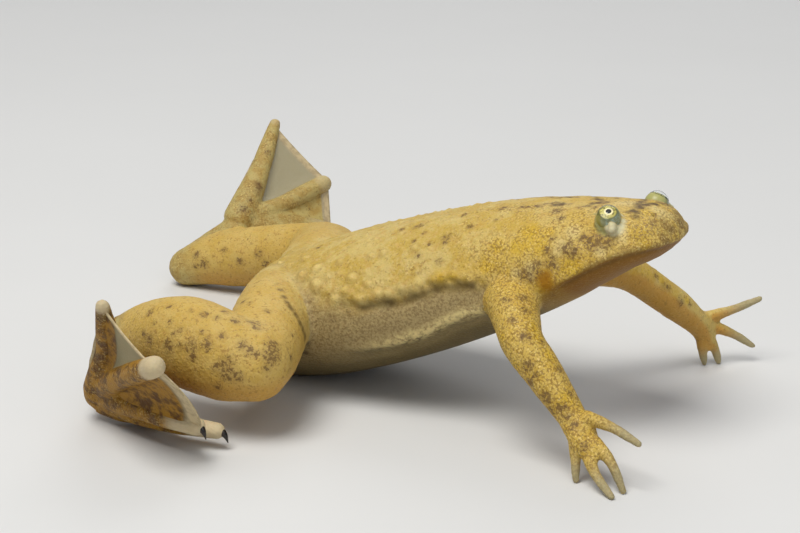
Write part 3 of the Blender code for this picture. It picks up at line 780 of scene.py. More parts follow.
# Marks as the camera sees them, each a pixel's x and y and a radius in pixels.
NOSTRIL = (655, 216, 2)
LID_NOTCHES = ((606, 224, 2), (607, 228, 2))
PALE_LID = (
    (611, 229, 4), (614, 230, 5), (618, 229, 5), (621, 226, 4), (623, 221, 3), (622, 215, 2),
)
GREEN_LID = ((596, 214, 2), (597, 219, 3), (598, 224, 5), (601, 228, 5), (604, 231, 4))
LARGE_WARTS = (
    (306, 259, 5), (317, 268, 6), (302, 276, 6), (316, 285, 7), (279, 264, 5), (291, 266, 5),
    (352, 278, 6), (335, 300, 7), (361, 301, 8), (379, 293, 6), (389, 294, 6), (421, 283, 8),
    (417, 291, 6), (428, 291, 6), (451, 285, 6), (454, 275, 5), (471, 280, 6), (478, 287, 5),
    (435, 280, 5), (383, 253, 4), (371, 256, 4), (415, 248, 4), (402, 289, 5), (345, 291, 5),
    (462, 279, 5), (328, 277, 4), (368, 284, 4), (340, 262, 4),
)
# Painted shade in the fold where the thigh meets the body.
GROIN_CREASE = (
    (278, 284, 2), (281, 290, 3), (284, 297, 3), (287, 302, 3), (291, 308, 4), (296, 315, 4),
    (300, 323, 4), (303, 330, 4), (305, 337, 5), (306, 345, 4), (306, 353, 3),
)
LEG_BLOTCHES = (
    (150, 312, 5), (150, 340, 6), (168, 346, 7), (169, 307, 3), (204, 314, 5), (191, 311, 3),
    (170, 322, 3), (202, 332, 3), (192, 347, 8), (193, 357, 5), (207, 345, 6), (222, 336, 4),
    (235, 321, 5), (254, 323, 7), (257, 328, 5), (267, 311, 4), (243, 345, 6), (250, 352, 5),
    (273, 347, 9), (267, 356, 7), (277, 356, 5), (267, 368, 5), (227, 362, 7), (217, 368, 5),
    (228, 374, 8), (238, 376, 6), (218, 387, 4), (291, 358, 4), (292, 335, 3), (243, 302, 4),
    (217, 318, 4), (250, 303, 3), (180, 330, 3), (259, 254, 6), (196, 255, 5), (224, 250, 4),
    (204, 264, 6), (240, 262, 5), (154, 324, 3), (144, 334, 4), (175, 333, 3), (208, 338, 3),
    (225, 312, 4), (256, 354, 4), (272, 361, 5), (196, 266, 4), (265, 264, 5), (180, 347, 4),
)
BACK_BLOTCHES = (
    (446, 238, 5), (445, 243, 4), (430, 244, 3), (416, 227, 4), (421, 225, 4), (424, 233, 3),
    (414, 241, 3), (402, 229, 4), (439, 262, 4), (418, 256, 4), (470, 227, 4), (464, 215, 4),
    (496, 220, 3), (503, 208, 5), (522, 207, 4), (528, 207, 3), (538, 206, 5), (545, 204, 4),
    (555, 203, 5), (561, 204, 5), (557, 211, 6), (561, 218, 4), (570, 204, 3), (580, 207, 4),
    (593, 203, 3), (600, 203, 4), (606, 202, 4), (567, 196, 4), (587, 195, 4), (607, 195, 4),
    (617, 198, 4), (633, 211, 4), (640, 207, 4), (647, 205, 4), (655, 204, 4), (593, 242, 9),
    (583, 238, 5), (607, 243, 7), (567, 249, 8), (574, 254, 6), (553, 238, 4), (552, 263, 7),
    (537, 268, 7), (533, 278, 5), (552, 295, 4), (547, 250, 5), (310, 300, 5), (318, 248, 3),
    (332, 318, 5), (350, 313, 5), (302, 312, 5),
)
ARM_BLOTCHES = (
    (528, 366, 6), (530, 382, 5), (546, 398, 7), (562, 407, 6), (570, 394, 4), (526, 336, 6),
    (542, 341, 3), (560, 370, 5), (526, 310, 5), (524, 298, 5), (524, 275, 7), (552, 410, 5),
    (566, 416, 5), (574, 426, 5), (584, 447, 5), (536, 374, 4), (506, 300, 4), (512, 320, 4),
    (656, 276, 4), (668, 288, 4), (664, 285, 4), (681, 301, 5), (701, 307, 5), (690, 304, 3),
)
FOOT_BLOTCHES = (
    (107, 337, 5), (104, 344, 4), (110, 351, 5), (102, 378, 6), (123, 387, 6), (98, 391, 4),
    (133, 408, 6), (153, 418, 6), (145, 398, 4), (110, 318, 4), (170, 425, 5), (259, 187, 6),
    (244, 209, 6), (250, 200, 4), (268, 153, 4),
)
# A line of painted shade beside the mound of each eye, from behind the eyes towards the snout.
EYE_SHADE_LINE = (
    (628, 212, 3), (633, 210, 3), (638, 207, 4), (643, 205, 4), (649, 204, 4), (655, 204, 4),
    (661, 203, 4), (667, 204, 4), (673, 206, 4), (677, 209, 4), (555, 205, 4), (562, 204, 4),
    (588, 206, 3), (593, 204, 3), (598, 203, 3),
)
SNOUT_SHADE = (
    (680, 222, 7), (683, 228, 7), (681, 236, 6), (675, 240, 6), (667, 243, 5), (672, 230, 6),
    (664, 238, 5), (678, 214, 5),
)
DUSK_CLOUDS = (
    (536, 270, 5), (534, 277, 4), (524, 274, 5), (552, 268, 6), (549, 262, 4), (585, 244, 9),
    (594, 240, 8), (576, 247, 6), (600, 247, 5), (565, 252, 4), (608, 238, 5), (647, 221, 9),
    (641, 229, 7), (653, 226, 6), (655, 217, 5),
)
CREAM_PATCHES = (
    (560, 245, 6), (557, 252, 5), (530, 268, 5), (531, 275, 4), (516, 273, 5), (620, 232, 6),
    (573, 232, 7), (600, 252, 5), (630, 203, 8), (664, 213, 8), (672, 216, 6), (622, 238, 5),
)
ARMPIT = ((546, 277, 6), (546, 284, 7), (541, 279, 4))
FOOT_SHADE = ((106, 317, 6), (258, 184, 5), (258, 193, 4), (301, 211, 5))
# Kinds of toes, and where along them their whitish tips start and are full.
TOE_TIPS = (
    (("toe_1", "toe_2", "toe_3"), 0.72, 0.86),
    (("toe_4",), 0.88, 0.95),
    (("toe_5",), 0.94, 0.99),
)
GOLD_PATCHES = (
    (572, 266, 9), (543, 280, 9), (545, 288, 6), (647, 212, 6), (647, 247, 5), (517, 247, 9),
    (534, 328, 5), (539, 338, 5), (565, 400, 7), (502, 337, 4), (516, 366, 5), (548, 354, 5),
    (662, 280, 4), (687, 300, 4), (258, 164, 5), (115, 407, 6), (497, 246, 7), (486, 268, 6),
    (530, 233, 9), (540, 246, 9), (438, 279, 6), (452, 278, 6), (466, 282, 5), (480, 285, 5),
    (528, 244, 7), (548, 233, 6),
)


def sight_tree(mesh):
    """The skin as a tree that sight lines can be cast at."""
    return BVHTree.FromPolygons(
        [v.co for v in mesh.vertices], [tuple(p.vertices) for p in mesh.polygons]
    )


def seen_marks(tree, marks):
    """Places on the skin where the camera sees marks, with their radii."""
    found = []
    for x, y, radius in marks:
        eye, ray = sight_line(x, y)
        place, normal, _, _ = tree.ray_cast(eye, ray)
        if place is not None:
            found.append((place, radius * PIXEL))
    return found


def painted(points, marks):
    """How strongly each vertex lies under any of the marks."""
    value = np.zeros(len(points))
    for place, radius in marks:
        away = np.linalg.norm(points - np.array(place), axis=1)
        value = np.maximum(value, step(away, radius * 1.8, radius * 0.4))
    return value


class Painter:
    """Paints marks of the photographed side onto the vertices of the skin."""

    def __init__(self, skin, body):
        self.points, self.tree = body.points, sight_tree(skin.data)

    def once(self, marks):
        return painted(self.points, seen_marks(self.tree, marks))

    def mirrored(self, marks):
        return painted(self.points, both_sides(seen_marks(self.tree, marks)))

    def at_eyes(self, marks):
        return painted(self.points, on_both_eyes(seen_marks(self.tree, marks)))


def trunk_masks(body, warp):
    """The grey flank, the belly and the jaw under painted shade, and a cream painted highlight along
    the flank's ridge.
    """
    along, height, up = body.along, body.height, body.normals[:, 2]
    above_mouth, above_ridge = body.above_mouth, body.above_ridge
    rear = step(along, *REAR_ENDS)
    soft = 0.9 * step(along, *FLANK_SOFTENS)
    flank = step(body.above_fold, 0.2 + soft, -0.9 - 1.4 * soft) * rear
    flank += step(height + warp, -0.5, -2.5) * (1 - rear)
    # Painted shade: the belly below the flank's ridge and every downward-facing part of the trunk.
    belly = np.maximum(step(above_ridge, -0.3, -1.5), step(up, -0.3, -0.9))
    throat = step(along, *THROAT_STARTS)
    # Painted shade under the mouth line and on downward-facing parts of the head and throat.
    under_jaw = np.where(along > 14.6, step(above_mouth, 0.08, -0.12), step(above_mouth, 0.4, -1.2))
    jaw = step(along, *HEAD_STARTS) * np.maximum(under_jaw, step(up, -0.55, -0.9))
    # A painted highlight where the flank's ridge catches the light.
    ridge_highlight = bell(above_ridge - 0.2, 0.5) * step(along, *RIDGE_HIGHLIGHT_STARTS) * step(along, *RIDGE_HIGHLIGHT_ENDS)
    return {
        "flank": flank * body.trunk * step(along, *FLANK_ENDS),
        "belly": belly * body.trunk * (1 - throat),
        "jaw": body.trunk * np.maximum(jaw, throat * step(up, -0.15, -0.6)),
        "ridge_highlight": body.trunk * ridge_highlight,
    }


def limb_masks(body):
    """Plain inner sides in a darker orange of painted shade, pale fingertips, whitish toe tips, brown
    feet with painted shadow on the near one, and orange legs.
    """
    up, outward = body.normals[:, 2], body.normals[:, 1]
    far = body.points[:, 1] > 0
    arm, legs = body.of("arm", "finger"), body.of("thigh", "shank")
    inner = np.where(far, -outward, outward)
    # The inner and downward-facing sides of the limbs have fewer speckles and a darker orange that is
    # painted shade.
    plain = np.where(arm, step(inner + 0.4 * np.minimum(-up, 0.6), 0.15, 0.55), 0.0)
    plain = np.where(legs, 0.8 * step(up, 0.05, -0.6), plain)
    pale = body.of("finger") * step(body.limb_along, 0.1, 0.8)
    white = np.zeros(len(up))
    for kinds, starts, ends in TOE_TIPS:
        white += body.of(*kinds) * step(body.limb_along, starts, ends)
    foot = np.where(body.of("ankle", *TOE_KINDS), 1.0, 0.0)
    foot += body.of("shank") * step(body.limb_along, 0.72, 1.0) * 0.8
    # Painted shadow: the near foot is darkened more than the far one.
    foot *= np.where(far, FOOT_SHADOW[LEFT], FOOT_SHADOW[RIGHT])
    return {
        "plain": plain, "pale": pale, "white": white * np.where(far, 0.4, 1.0), "foot": foot,
        "legs": legs * step(body.trunk_depth, 1.0, 1.4),
    }


def crease_shade_mask(body, painter, nostrils):
    """Painted shade in dark lines and pits: the mouth, the flank's fold, the groin, where thigh meets
    trunk, the nostrils, the lid notches and the line beside each eye.
    """
    along, trunk = body.along, body.trunk
    lines = [0.4 * trunk * step(along, *JAW_STARTS) * bell(body.above_mouth + 0.08, 0.16)]
    broken = np.clip(0.8 + rough(body.points, 0.8, 5), 0, 1)
    fold = trunk * step(along, *FOLD_LINE_STARTS) * step(along, *FOLD_LINE_ENDS)
    lines.append(0.7 * fold * broken * bell(body.above_fold + 0.3, 0.36))
    lines.append(0.85 * painter.mirrored(GROIN_CREASE))
    # Painted shade where the thigh meets the trunk.
    meeting = bell(np.abs(body.trunk_depth - body.limb_depth), 0.05) * body.of("thigh")
    lines.append(0.3 * meeting * step(body.trunk_depth, 1.25, 1.05))
    # Painted shade in the nostrils' pits and the lid notches.
    lines += [1.3 * bell(body.away(place), 0.22) for place in nostrils]
    lines.append(0.9 * painter.at_eyes(LID_NOTCHES))
    lines.append(0.8 * painter.mirrored(EYE_SHADE_LINE) * trunk)
    return np.maximum.reduce(lines)


def crowd_mask(body, masks):
    """How crowded the dark pepper is."""
    far_arm = body.of("arm", "finger") & (body.points[:, 1] > 0)
    top = step(body.height - line_height(FLANK_FOLD, np.minimum(body.along, 8.0)), 2.0, 4.0)
    busy = 0.16 + 0.6 * step(body.along, *CROWD_STARTS) * (1 - 0.5 * top)
    busy = np.where(body.of("arm", "finger"), 0.95, busy)
    busy = np.where(far_arm, 0.35, busy)
    busy = np.where(body.of("thigh", "shank"), 0.05, busy)
    busy = np.where(masks["foot"] > 0.3, 0.4, busy)
    return np.maximum(busy, masks["dusk"]) * (1 - 0.85 * masks["plain"])


def eyelid_masks(body, painter):
    """The pale end of each feeler with its lid, and the green of the lids."""
    pale, green = painter.at_eyes(PALE_LID), painter.at_eyes(GREEN_LID)
    for side in (LEFT, RIGHT):
        tip = feeler_core(side)[-1][:3]
        pale = np.maximum(pale, 0.9 * step(body.away(tip), 0.8, 0.5))
    green = np.maximum(green, 0.8 * step(body.away(eye_centre(LEFT)), 2.0, 1.5))
    return {"lid_pale": pale, "lid_green": green}


def mark_masks(body, painter, warts):
    """Blotches, warts, shades and bright patches."""
    trunk, points = body.trunk, body.points
    blotch = painter.mirrored(BACK_BLOTCHES) * trunk
    for marks in (LEG_BLOTCHES, ARM_BLOTCHES, FOOT_BLOTCHES):
        blotch = np.maximum(blotch, painter.once(marks))
    hidden = step(body.normals @ np.array(camera_back()), 0.0, -0.25) * (1 - trunk)
    shade = np.maximum(painter.mirrored(SNOUT_SHADE) * trunk, 0.8 * painter.once(FOOT_SHADE))
    lip = trunk * step(body.along, *LIP_STARTS) * bell(body.above_mouth - 0.3, 0.26)
    shade = np.maximum(shade, 0.7 * lip)
    wart = np.maximum(
        nearness(points, warts["large"], 0.75), 0.4 * nearness(points, warts["small"], 0.75)
    )
    return {
        "blotch": np.maximum(blotch, hidden * step(rough(points, 0.5, 6), 0.12, 0.42)),
        "shade": np.maximum(shade, 0.3 * trunk * rings_round(points, warts["large"])),
        "wart": trunk * wart, "gold": painter.mirrored(GOLD_PATCHES),
        "dusk": painter.mirrored(DUSK_CLOUDS) * trunk, "orange": painter.mirrored(ARMPIT),
        "cream": painter.mirrored(CREAM_PATCHES) * trunk,
    }


def colour_masks(skin, limbs, warts, nostrils):
    """Masks on the skin that its material mixes colours by."""
    body = Body(skin.data, limbs)
    warp = rough(body.points, 0.5, 3) * 0.6
    body.measure_lines(warp)
    painter = Painter(skin, body)
    masks = {**trunk_masks(body, warp), **limb_masks(body), **eyelid_masks(body, painter)}
    masks.update(mark_masks(body, painter, warts))
    masks["crease_shade"] = crease_shade_mask(body, painter, nostrils)
    masks["busy"] = crowd_mask(body, masks)
    for name, values in masks.items():
        layer = skin.data.attributes.new(name, "FLOAT", "POINT")
        layer.data.foreach_set("value", np.clip(values, 0, 1).astype(np.float32))


# Each web: how far along its inner and its outer toe it goes, how far its free edge curves in,
# the width in millimetres of its whitish margin at either toe, and, where it is clear, the
# width of the flesh beside either toe.
Web = namedtuple("Web", "ends dip margins clear")
WEBS = {
    RIGHT: (
        Web((0.75, 0.93), 0.16, (0.4, 0.4), None),
        Web((0.93, 1.0), 0.16, (0.4, 0.4), None),
        Web((1.04, 1.0), -0.42, (1.7, 0.8), None),
        Web((0.985, 0.985), 0.16, (0.38, 0.38), (0.8, 1.7)),
    ),
    LEFT: (
        Web((0.75, 0.93), 0.16, (0.4, 0.4), None),
        Web((0.93, 1.05), 0.16, (0.4, 0.4), None),
        Web((1.08, 1.06), 0.0, (0.75, 0.75), None),
        Web((1.06, 0.985), 0.05, (0.7, 0.7), (0.9, 0.9)),
    ),
}
# A web's first place along its toes, its thickness and how far it sags in its middle.
WEB_STARTS, WEB_THICK, WEB_SAG = 0.08, 0.14, 0.35
# How high and how wide it swells against a toe, in radii of the toe, and where it does so.
WEB_SWELL, WEB_SWELL_WIDTH, SWELL_STARTS, SWELL_ENDS = 0.8, 1.2, (0.08, 0.35), (1.0, 0.8)
CLEAR_STARTS = (0.28, 0.18)
WEB_ACROSS, WEB_ALONG = 40, 48
# The narrow fringe along the outer side of the fifth toe: its width from root to tip.
FRINGE = Web((0.96, 0.96), 0.0, (0.01, 0.01), None)
FRINGE_WIDTHS = (0.9, 1.5, 1.55, 1.2, 0.6, 0.2)
FRINGE_OUT = {RIGHT: Vector((-0.87, -0.45, -0.2)), LEFT: Vector((-0.95, -0.25, -0.2))}


def on_toe(path, share):
    """A place on a toe's core or its straight continuation beyond the tip, and its radius."""
    place = share * (len(path) - 1)
    i = min(int(place), len(path) - 2)
    return Vector(path[i][:3]).lerp(Vector(path[i + 1][:3]), place - i), path[i][4]


def web_swell(gap, across, along, sizes):
    """How much thicker a web is beside either of its toes."""
    thick = 0.0
    for away, size in zip((across * gap, (1 - across) * gap), sizes):
        thick += size * bell(away, WEB_SWELL_WIDTH * size)
    thick *= WEB_SWELL * step(along, *SWELL_ENDS) * step(along, *SWELL_STARTS)
    return min(thick, 0.4 * gap)


def web_flesh(web, gap, across, along):
    """How fleshy a web is: a clear one only at its root and beside its toes."""
    if web.clear is None:
        return 1.0
    first, second = web.clear
    by_first = step(across * gap, first * 1.1, first * 0.8)
    by_second = step((1 - across) * gap, second * 1.08, second * 0.9)
    return max(by_first, by_second, step(along, *CLEAR_STARTS))


def web_vertex(web, cores, across, along):
    """Where a vertex of a web lies, its extra thickness and sag, and how fleshy and pale it is."""
    between = 4 * across * (1 - across)
    end = web.ends[0] + (web.ends[1] - web.ends[0]) * across - web.dip * between * 0.25
    share = WEB_STARTS + (end - WEB_STARTS) * along
    (first, first_size), (second, second_size) = (on_toe(core, share) for core in cores)
    gap = (second - first).length
    thick = web_swell(gap, across, along, (first_size, second_size))
    length = (on_toe(cores[0], 1.0)[0] - on_toe(cores[0], 0.0)[0]).length
    margin = web.margins[0] + (web.margins[1] - web.margins[0]) * across
    pale = step((1 - along) * end * length, margin * 1.3, margin * 0.8)
    sag = WEB_SAG * between * along * (1 - along)
    return first.lerp(second, across), thick, sag, web_flesh(web, gap, across, along), pale


def swell_out(bm, reach):
    """Moves each vertex out along its normal, by a reach that follows from the vertex."""
    bm.normal_update()
    for vert, normal in [(v, v.normal.copy()) for v in bm.verts]:
        vert.co += normal * reach(vert)


def add_web(web, cores, side, whole):
    """Adds the membrane from one toe to the next, with its free edge curved in or out."""
    bm = bmesh.new()
    layers = {name: bm.verts.layers.float.new(name) for name in ("rim", "flesh", "dark", "thick")}
    bmesh.ops.create_grid(bm, x_segments=WEB_ACROSS, y_segments=WEB_ALONG, size=0.5)
    sags = {}
    for vert in bm.verts:
        across = vert.co.x + 0.5
        vert.co, thick, sags[vert], flesh, pale = web_vertex(web, cores, across, vert.co.y + 0.5)
        if web is FRINGE:
            pale, thick = step(across, 0.3, 0.1), thick * step(across, 0.2, 0.6)
        # Each web takes on its foot's painted shadow.
        vert[layers["thick"]], vert[layers["dark"]] = thick, FOOT_SHADOW[side]
        vert[layers["flesh"]], vert[layers["rim"]] = flesh * (1 - pale), pale
    swell_out(bm, lambda vert: sags[vert])
    swell_out(bm, lambda vert: WEB_THICK / 2)
    bmesh.ops.solidify(bm, geom=list(bm.faces), thickness=WEB_THICK)
    bmesh.ops.recalc_face_normals(bm, faces=bm.faces)
    swell_out(bm, lambda vert: vert[layers["thick"]])
    take_in(whole, bm)


def fringe_core(side, core):
    """The outer edge of the fringe beside the fifth toe."""
    rows = []
    for i, row in enumerate(core):
        width = float(np.interp(i / (len(core) - 1), np.linspace(0, 1, 6), FRINGE_WIDTHS))
        rows.append((*(Vector(row[:3]) + FRINGE_OUT[side] * width), 0.05, 0.05))
    return rows


def make_webs(side):
    whole = bmesh.new()
    for name in ("rim", "flesh", "dark"):
        whole.verts.layers.float.new(name)
    cores = [through(keys, 61) for keys in toe_cores(side)]
    for web, inner, outer in zip(WEBS[side], cores, cores[1:]):
        add_web(web, (inner, outer), side, whole)
    add_web(FRINGE, (fringe_core(side, cores[-1]), cores[-1]), side, whole)
    webs = as_object(f"webs_{SIDE_NAMES[side]}", whole)
    webs.data.shade_smooth()
    return webs


def make_claw(side, digit):
    """A black horn cap over the end of a toe, curved down to its point."""
    rows = through(TOES[side][digit], 30)
    tip, before = Vector(rows[-1]), Vector(rows[-3])
    out = (tip - before).normalized()
    start = tip + out * CLAW_STARTS
    keys = []
    for share, radius in CLAW_TAPER:
        reach = CLAW_LENGTH * share * (1 - 0.25 * share)
        place = start + out * reach - UP * CLAW_DROOP * share**2
        place.z = max(place.z, radius)
        keys.append((*place, radius, radius))
    claw = as_object(f"claw_cap_{SIDE_NAMES[side]}_{digit + 1}", tube(keys, 14, 16))
    claw.data.shade_smooth()
    return claw


def spun(name, profile, side):
    """A round piece of an eye, from a profile of radius and height."""
    bm = bmesh.new()
    verts = [bm.verts.new((radius, 0.0, height)) for radius, height in profile]
    for pair in zip(verts, verts[1:]):
        bm.edges.new(pair)
    spin(bm, on_side(EYE_LOOKS, side), eye_centre(side), 64)
    item = as_object(f"{name}_{SIDE_NAMES[side]}", bm)
    item.data.shade_smooth()
    return item


def eye_masks(eye, side):
    """Angles from the eye's axis and from its pupil, and how far each place looks inwards."""
    axes = {
        "from_axis": on_side(EYE_LOOKS, side), "from_pupil": on_side(PUPIL_LOOKS, side),
        "from_front": on_side(EYE_FRONT, side), "from_middle": on_side(EYE_MIDDLE, side),
    }
    for name, axis in axes.items():
        layer = eye.data.attributes.new(name, "FLOAT", "POINT")
        for i, vert in enumerate(eye.data.vertices):
            layer.data[i].value = (vert.co - eye_centre(side)).angle(axis) / math.pi


def arc(radius, turns, bulge=0.0):
    """A profile along an arc, which may bulge towards its middle."""
    rows = []
    for turn in turns:
        reach = radius + bulge * (1 - (turn / CORNEA_EDGE) ** 2)
        rows.append((reach * math.sin(turn), reach * math.cos(turn)))
    return rows


def make_eye(side):
    """An eyeball with a nearly flat iris, and the clear cornea over it."""
    rim_radius = EYE_RADIUS * math.sin(IRIS_EDGE)
    rim_height = EYE_RADIUS * math.cos(IRIS_EDGE)
    iris = []
    for share in np.linspace(0, 1, 24):
        iris.append((rim_radius * share, rim_height + IRIS_DOME * (1 - share**2)))
    ball = arc(EYE_RADIUS, np.linspace(IRIS_EDGE, math.pi, 40))
    eye = spun("eyeball", iris[:-1] + ball, side)
    eye_masks(eye, side)
    turns = np.linspace(0, CORNEA_EDGE, 18)
    outer = arc(EYE_RADIUS + CORNEA_OUTER, turns, CORNEA_BULGE)
    inner = arc(EYE_RADIUS + CORNEA_INNER, turns[::-1], CORNEA_BULGE - 0.02)
    return eye, spun("cornea", outer + inner, side)


class Wiring:
    """Adds shader nodes to a tree and joins them up."""

    def __init__(self, tree):
        self.tree = tree

    def node(self, kind, sources=(), **fields):
        made = self.tree.nodes.new(kind)
        for field, value in fields.items():
            setattr(made, field, value)
        for name, source in dict(sources).items():
            if isinstance(source, bpy.types.NodeSocket):
                self.tree.links.new(source, made.inputs[name])
            else:
                made.inputs[name].default_value = source
        return made

    def place(self):
        """Object coordinates in millimetres."""
        where = self.node("ShaderNodeTexCoord").outputs["Object"]
        scaled = self.node("ShaderNodeVectorMath", {0: where, "Scale": 1 / MM}, operation="SCALE")
        return scaled.outputs[0]

    def mask(self, name):
        return self.node("ShaderNodeAttribute", attribute_name=name).outputs["Fac"]

    def noise(self, where, scale, detail=2.0, roughness=0.5):
        sources = {"Vector": where, "Scale": scale, "Detail": detail, "Roughness": roughness}
        return self.node("ShaderNodeTexNoise", sources).outputs["Fac"]

    def cells(self, where, scale):
        sources = {"Vector": where, "Scale": scale}
        return self.node("ShaderNodeTexVoronoi", sources).outputs["Distance"]

    def math(self, operation, first, second=0.0):
        made = self.node("ShaderNodeMath", {0: first, 1: second}, operation=operation)
        return made.outputs[0]

    def shaken(self, where, scale, reach):
        """Places moved a little by noise, so that what is drawn there has uneven edges."""
        shake = self.node("ShaderNodeTexNoise", {"Vector": where, "Scale": scale}).outputs["Color"]
        sources = {0: shake, 1: (reach, reach, reach), 2: where}
        return self.node("ShaderNodeVectorMath", sources, operation="MULTIPLY_ADD").outputs[0]

    def product(self, *factors):
        result = factors[0]
        for factor in factors[1:]:
            result = self.math("MULTIPLY", result, factor)
        return result

    def step(self, value, low, high):
        sources = {"Value": value, "From Min": low, "From Max": high}
        made = self.node("ShaderNodeMapRange", sources, interpolation_type="SMOOTHSTEP")
        return made.outputs["Result"]

    def spots(self, where, scale, low, high, detail=3.0, roughness=0.5):
        """Noise in soft-edged spots, from 0 between them to 1 inside them."""
        return self.step(self.noise(where, scale, detail, roughness), low, high)

    def blend(self, share, first, second):
        sources = {0: share, 6: first, 7: second}
        return self.node("ShaderNodeMix", sources, data_type="RGBA").outputs[2]

    def coat(self, colour, coats):
        """Further colours over one, each with its mask, its strength and its colour."""
        for mask, strength, paint in coats:
            colour = self.blend(self.product(self.mask(mask), strength), colour, paint)
        return colour

    def feed(self, target, **values):
        """Links sources to a node's inputs, whose names are written with underscores."""
        for label, source in values.items():
            self.tree.links.new(source, target.inputs[label.replace("_", " ")])

    def relief(self, shader, height, strength, reach):
        """Fine relief in the shader's normals, with a reach in millimetres."""
        sources = {"Height": height, "Strength": strength, "Distance": reach * MM}
        self.feed(shader, Normal=self.node("ShaderNodeBump", sources).outputs["Normal"])


def shader_group(name, inputs, outputs):
    """A node group with named inputs and outputs, and its wiring."""
    group = bpy.data.node_groups.new(name, "ShaderNodeTree")
    for label, kind in inputs:
        group.interface.new_socket(label, in_out="INPUT", socket_type=kind)
    for label in outputs:
        group.interface.new_socket(label, in_out="OUTPUT", socket_type="NodeSocketFloat")
    wiring = Wiring(group)
    return group, wiring, wiring.node("NodeGroupInput").outputs, wiring.node("NodeGroupOutput")


def speckle_group():
    """Fine dark pepper in uneven crowds, dotted blotches, pale grains and the skin's relief."""
    inputs = (("Place", "NodeSocketVector"), ("Busy", "NodeSocketFloat"), ("Blotch", "NodeSocketFloat"))
    outputs = ("Pepper", "Blotches", "Grain", "Pale grains", "Freckles")
    group, w, entry, leave = shader_group("frog_speckle", inputs, outputs)
    place, busy, blotch = entry["Place"], entry["Busy"], entry["Blotch"]
    uneven = w.shaken(place, 9.0, 0.13)
    clouds = w.noise(place, 0.45, 3.0, 0.6)
    patches = w.noise(place, 1.5, 3.0, 0.65)
    grains = w.noise(place, 5.5, 2.0, 0.6)

    def from_half(value, factor):
        return w.product(w.math("SUBTRACT", value, 0.5), factor)

    broken = w.math("ADD", w.cells(uneven, 5.4), from_half(grains, 0.9))
    crowd = w.math("ADD", w.product(busy, 0.95), from_half(clouds, 1.6))
    crowd = w.math("ADD", crowd, from_half(patches, 1.3))
    crowd = w.step(crowd, 0.15, 0.8)
    sparse = w.product(w.spots(place, 3.8, 0.61, 0.68, 2.0), 0.6)
    pepper = w.math("MAXIMUM", w.product(w.step(broken, 0.5, 0.72), crowd), sparse)
    islands = w.noise(w.shaken(place, 6.0, 0.2), 3.0, 4.0, 0.72)
    islands = w.math("ADD", islands, w.product(blotch, 0.23))
    bumps = w.math("SUBTRACT", 1.0, w.cells(uneven, 4.2))
    relief = w.math("ADD", w.product(bumps, 0.5), w.product(patches, 0.7))
    relief = w.math("ADD", relief, w.product(grains, 0.3))
    elsewhere = w.node("ShaderNodeVectorMath", {0: place, 1: (7.0, 3.0, 5.0)}, operation="ADD")
    lights = w.spots(elsewhere.outputs[0], 6.0, 0.54, 0.65, 2.0, 0.6)
    lights = w.product(lights, w.math("ADD", w.product(crowd, 0.8), 0.2))
    freckles = w.spots(place, 2.6, 0.58, 0.66, 3.0, 0.65)
    w.feed(leave, Pepper=pepper, Blotches=w.step(islands, 0.66, 0.75), Grain=relief)
    w.feed(leave, Pale_grains=lights, Freckles=freckles)
    return group


def foot_brown_group():
    """The clouded brown of the feet and their webs."""
    inputs = (("Place", "NodeSocketVector"),)
    group, w, entry, leave = shader_group("foot_clouds", inputs, ("Clouds",))
    clouds = w.spots(w.shaken(entry["Place"], 2.0, 0.3), 0.9, 0.42, 0.62, 4.0, 0.65)
    w.feed(leave, Clouds=clouds)
    return group


def new_material(name, roughness, **values):
    """A material, its wiring and its Principled shader, with constants set on the shader."""
    material = bpy.data.materials.new(name)
    material.use_nodes = True
    shader = material.node_tree.nodes["Principled BSDF"]
    shader.inputs["Roughness"].default_value = roughness
    for label, value in values.items():
        shader.inputs[label.replace("_", " ")].default_value = value
    return material, Wiring(material.node_tree), shader


OCHRE = (0.50, 0.345, 0.07, 1.0)
SAND = (0.57, 0.44, 0.15, 1.0)
TAN = (0.50, 0.32, 0.085, 1.0)
DEEP_OCHRE = (0.58, 0.365, 0.038, 1.0)
LEG_OCHRE = (0.56, 0.36, 0.08, 1.0)
BUFF = (0.61, 0.46, 0.20, 1.0)
UMBER = (0.38, 0.235, 0.06, 1.0)
GOLD = (0.60, 0.38, 0.012, 1.0)
ORANGE = (0.30, 0.12, 0.002, 1.0)
GRAINS = (0.82, 0.64, 0.24, 1.0)
# A darker orange for the inner and lower sides of the limbs: painted shade.
PLAIN_SHADED_SKIN = (0.50, 0.26, 0.045, 1.0)
FLANK_GREY = (0.39, 0.295, 0.13, 1.0)
FLANK_SPECKS = (0.27, 0.19, 0.08, 1.0)
# Cream for pale patches and for the painted highlight along the flank's ridge.
CREAM_AND_HIGHLIGHT = (0.68, 0.55, 0.24, 1.0)
# The belly's colour darkened with painted shade.
SHADED_BELLY = (0.13, 0.095, 0.035, 1.0)
# The jaw's and throat's colour darkened with painted shade.
SHADED_JAW = (0.23, 0.105, 0.012, 1.0)
SHADE = (0.22, 0.14, 0.045, 1.0)
# The feet's brown: the ground of a foot under painted shadow, and the clouds on a lit one.
FOOT_BROWN = (0.33, 0.165, 0.012, 1.0)
# The darker clouds of a foot under painted shadow.
SHADED_FOOT_DARK = (0.10, 0.042, 0.004, 1.0)
# The paler olive of a foot in full light, the lit copy of the foot's colour.
LIT_FOOT_OLIVE = (0.46, 0.36, 0.13, 1.0)
PEPPER = (0.17, 0.085, 0.02, 1.0)
DUSK = (0.17, 0.10, 0.065, 1.0)
FRECKLE = (0.30, 0.165, 0.04, 1.0)
BLOTCH = (0.13, 0.070, 0.028, 1.0)
WART = (0.76, 0.59, 0.22, 1.0)
TIP = (0.38, 0.32, 0.17, 1.0)
TOE_WHITE = (0.56, 0.46, 0.28, 1.0)
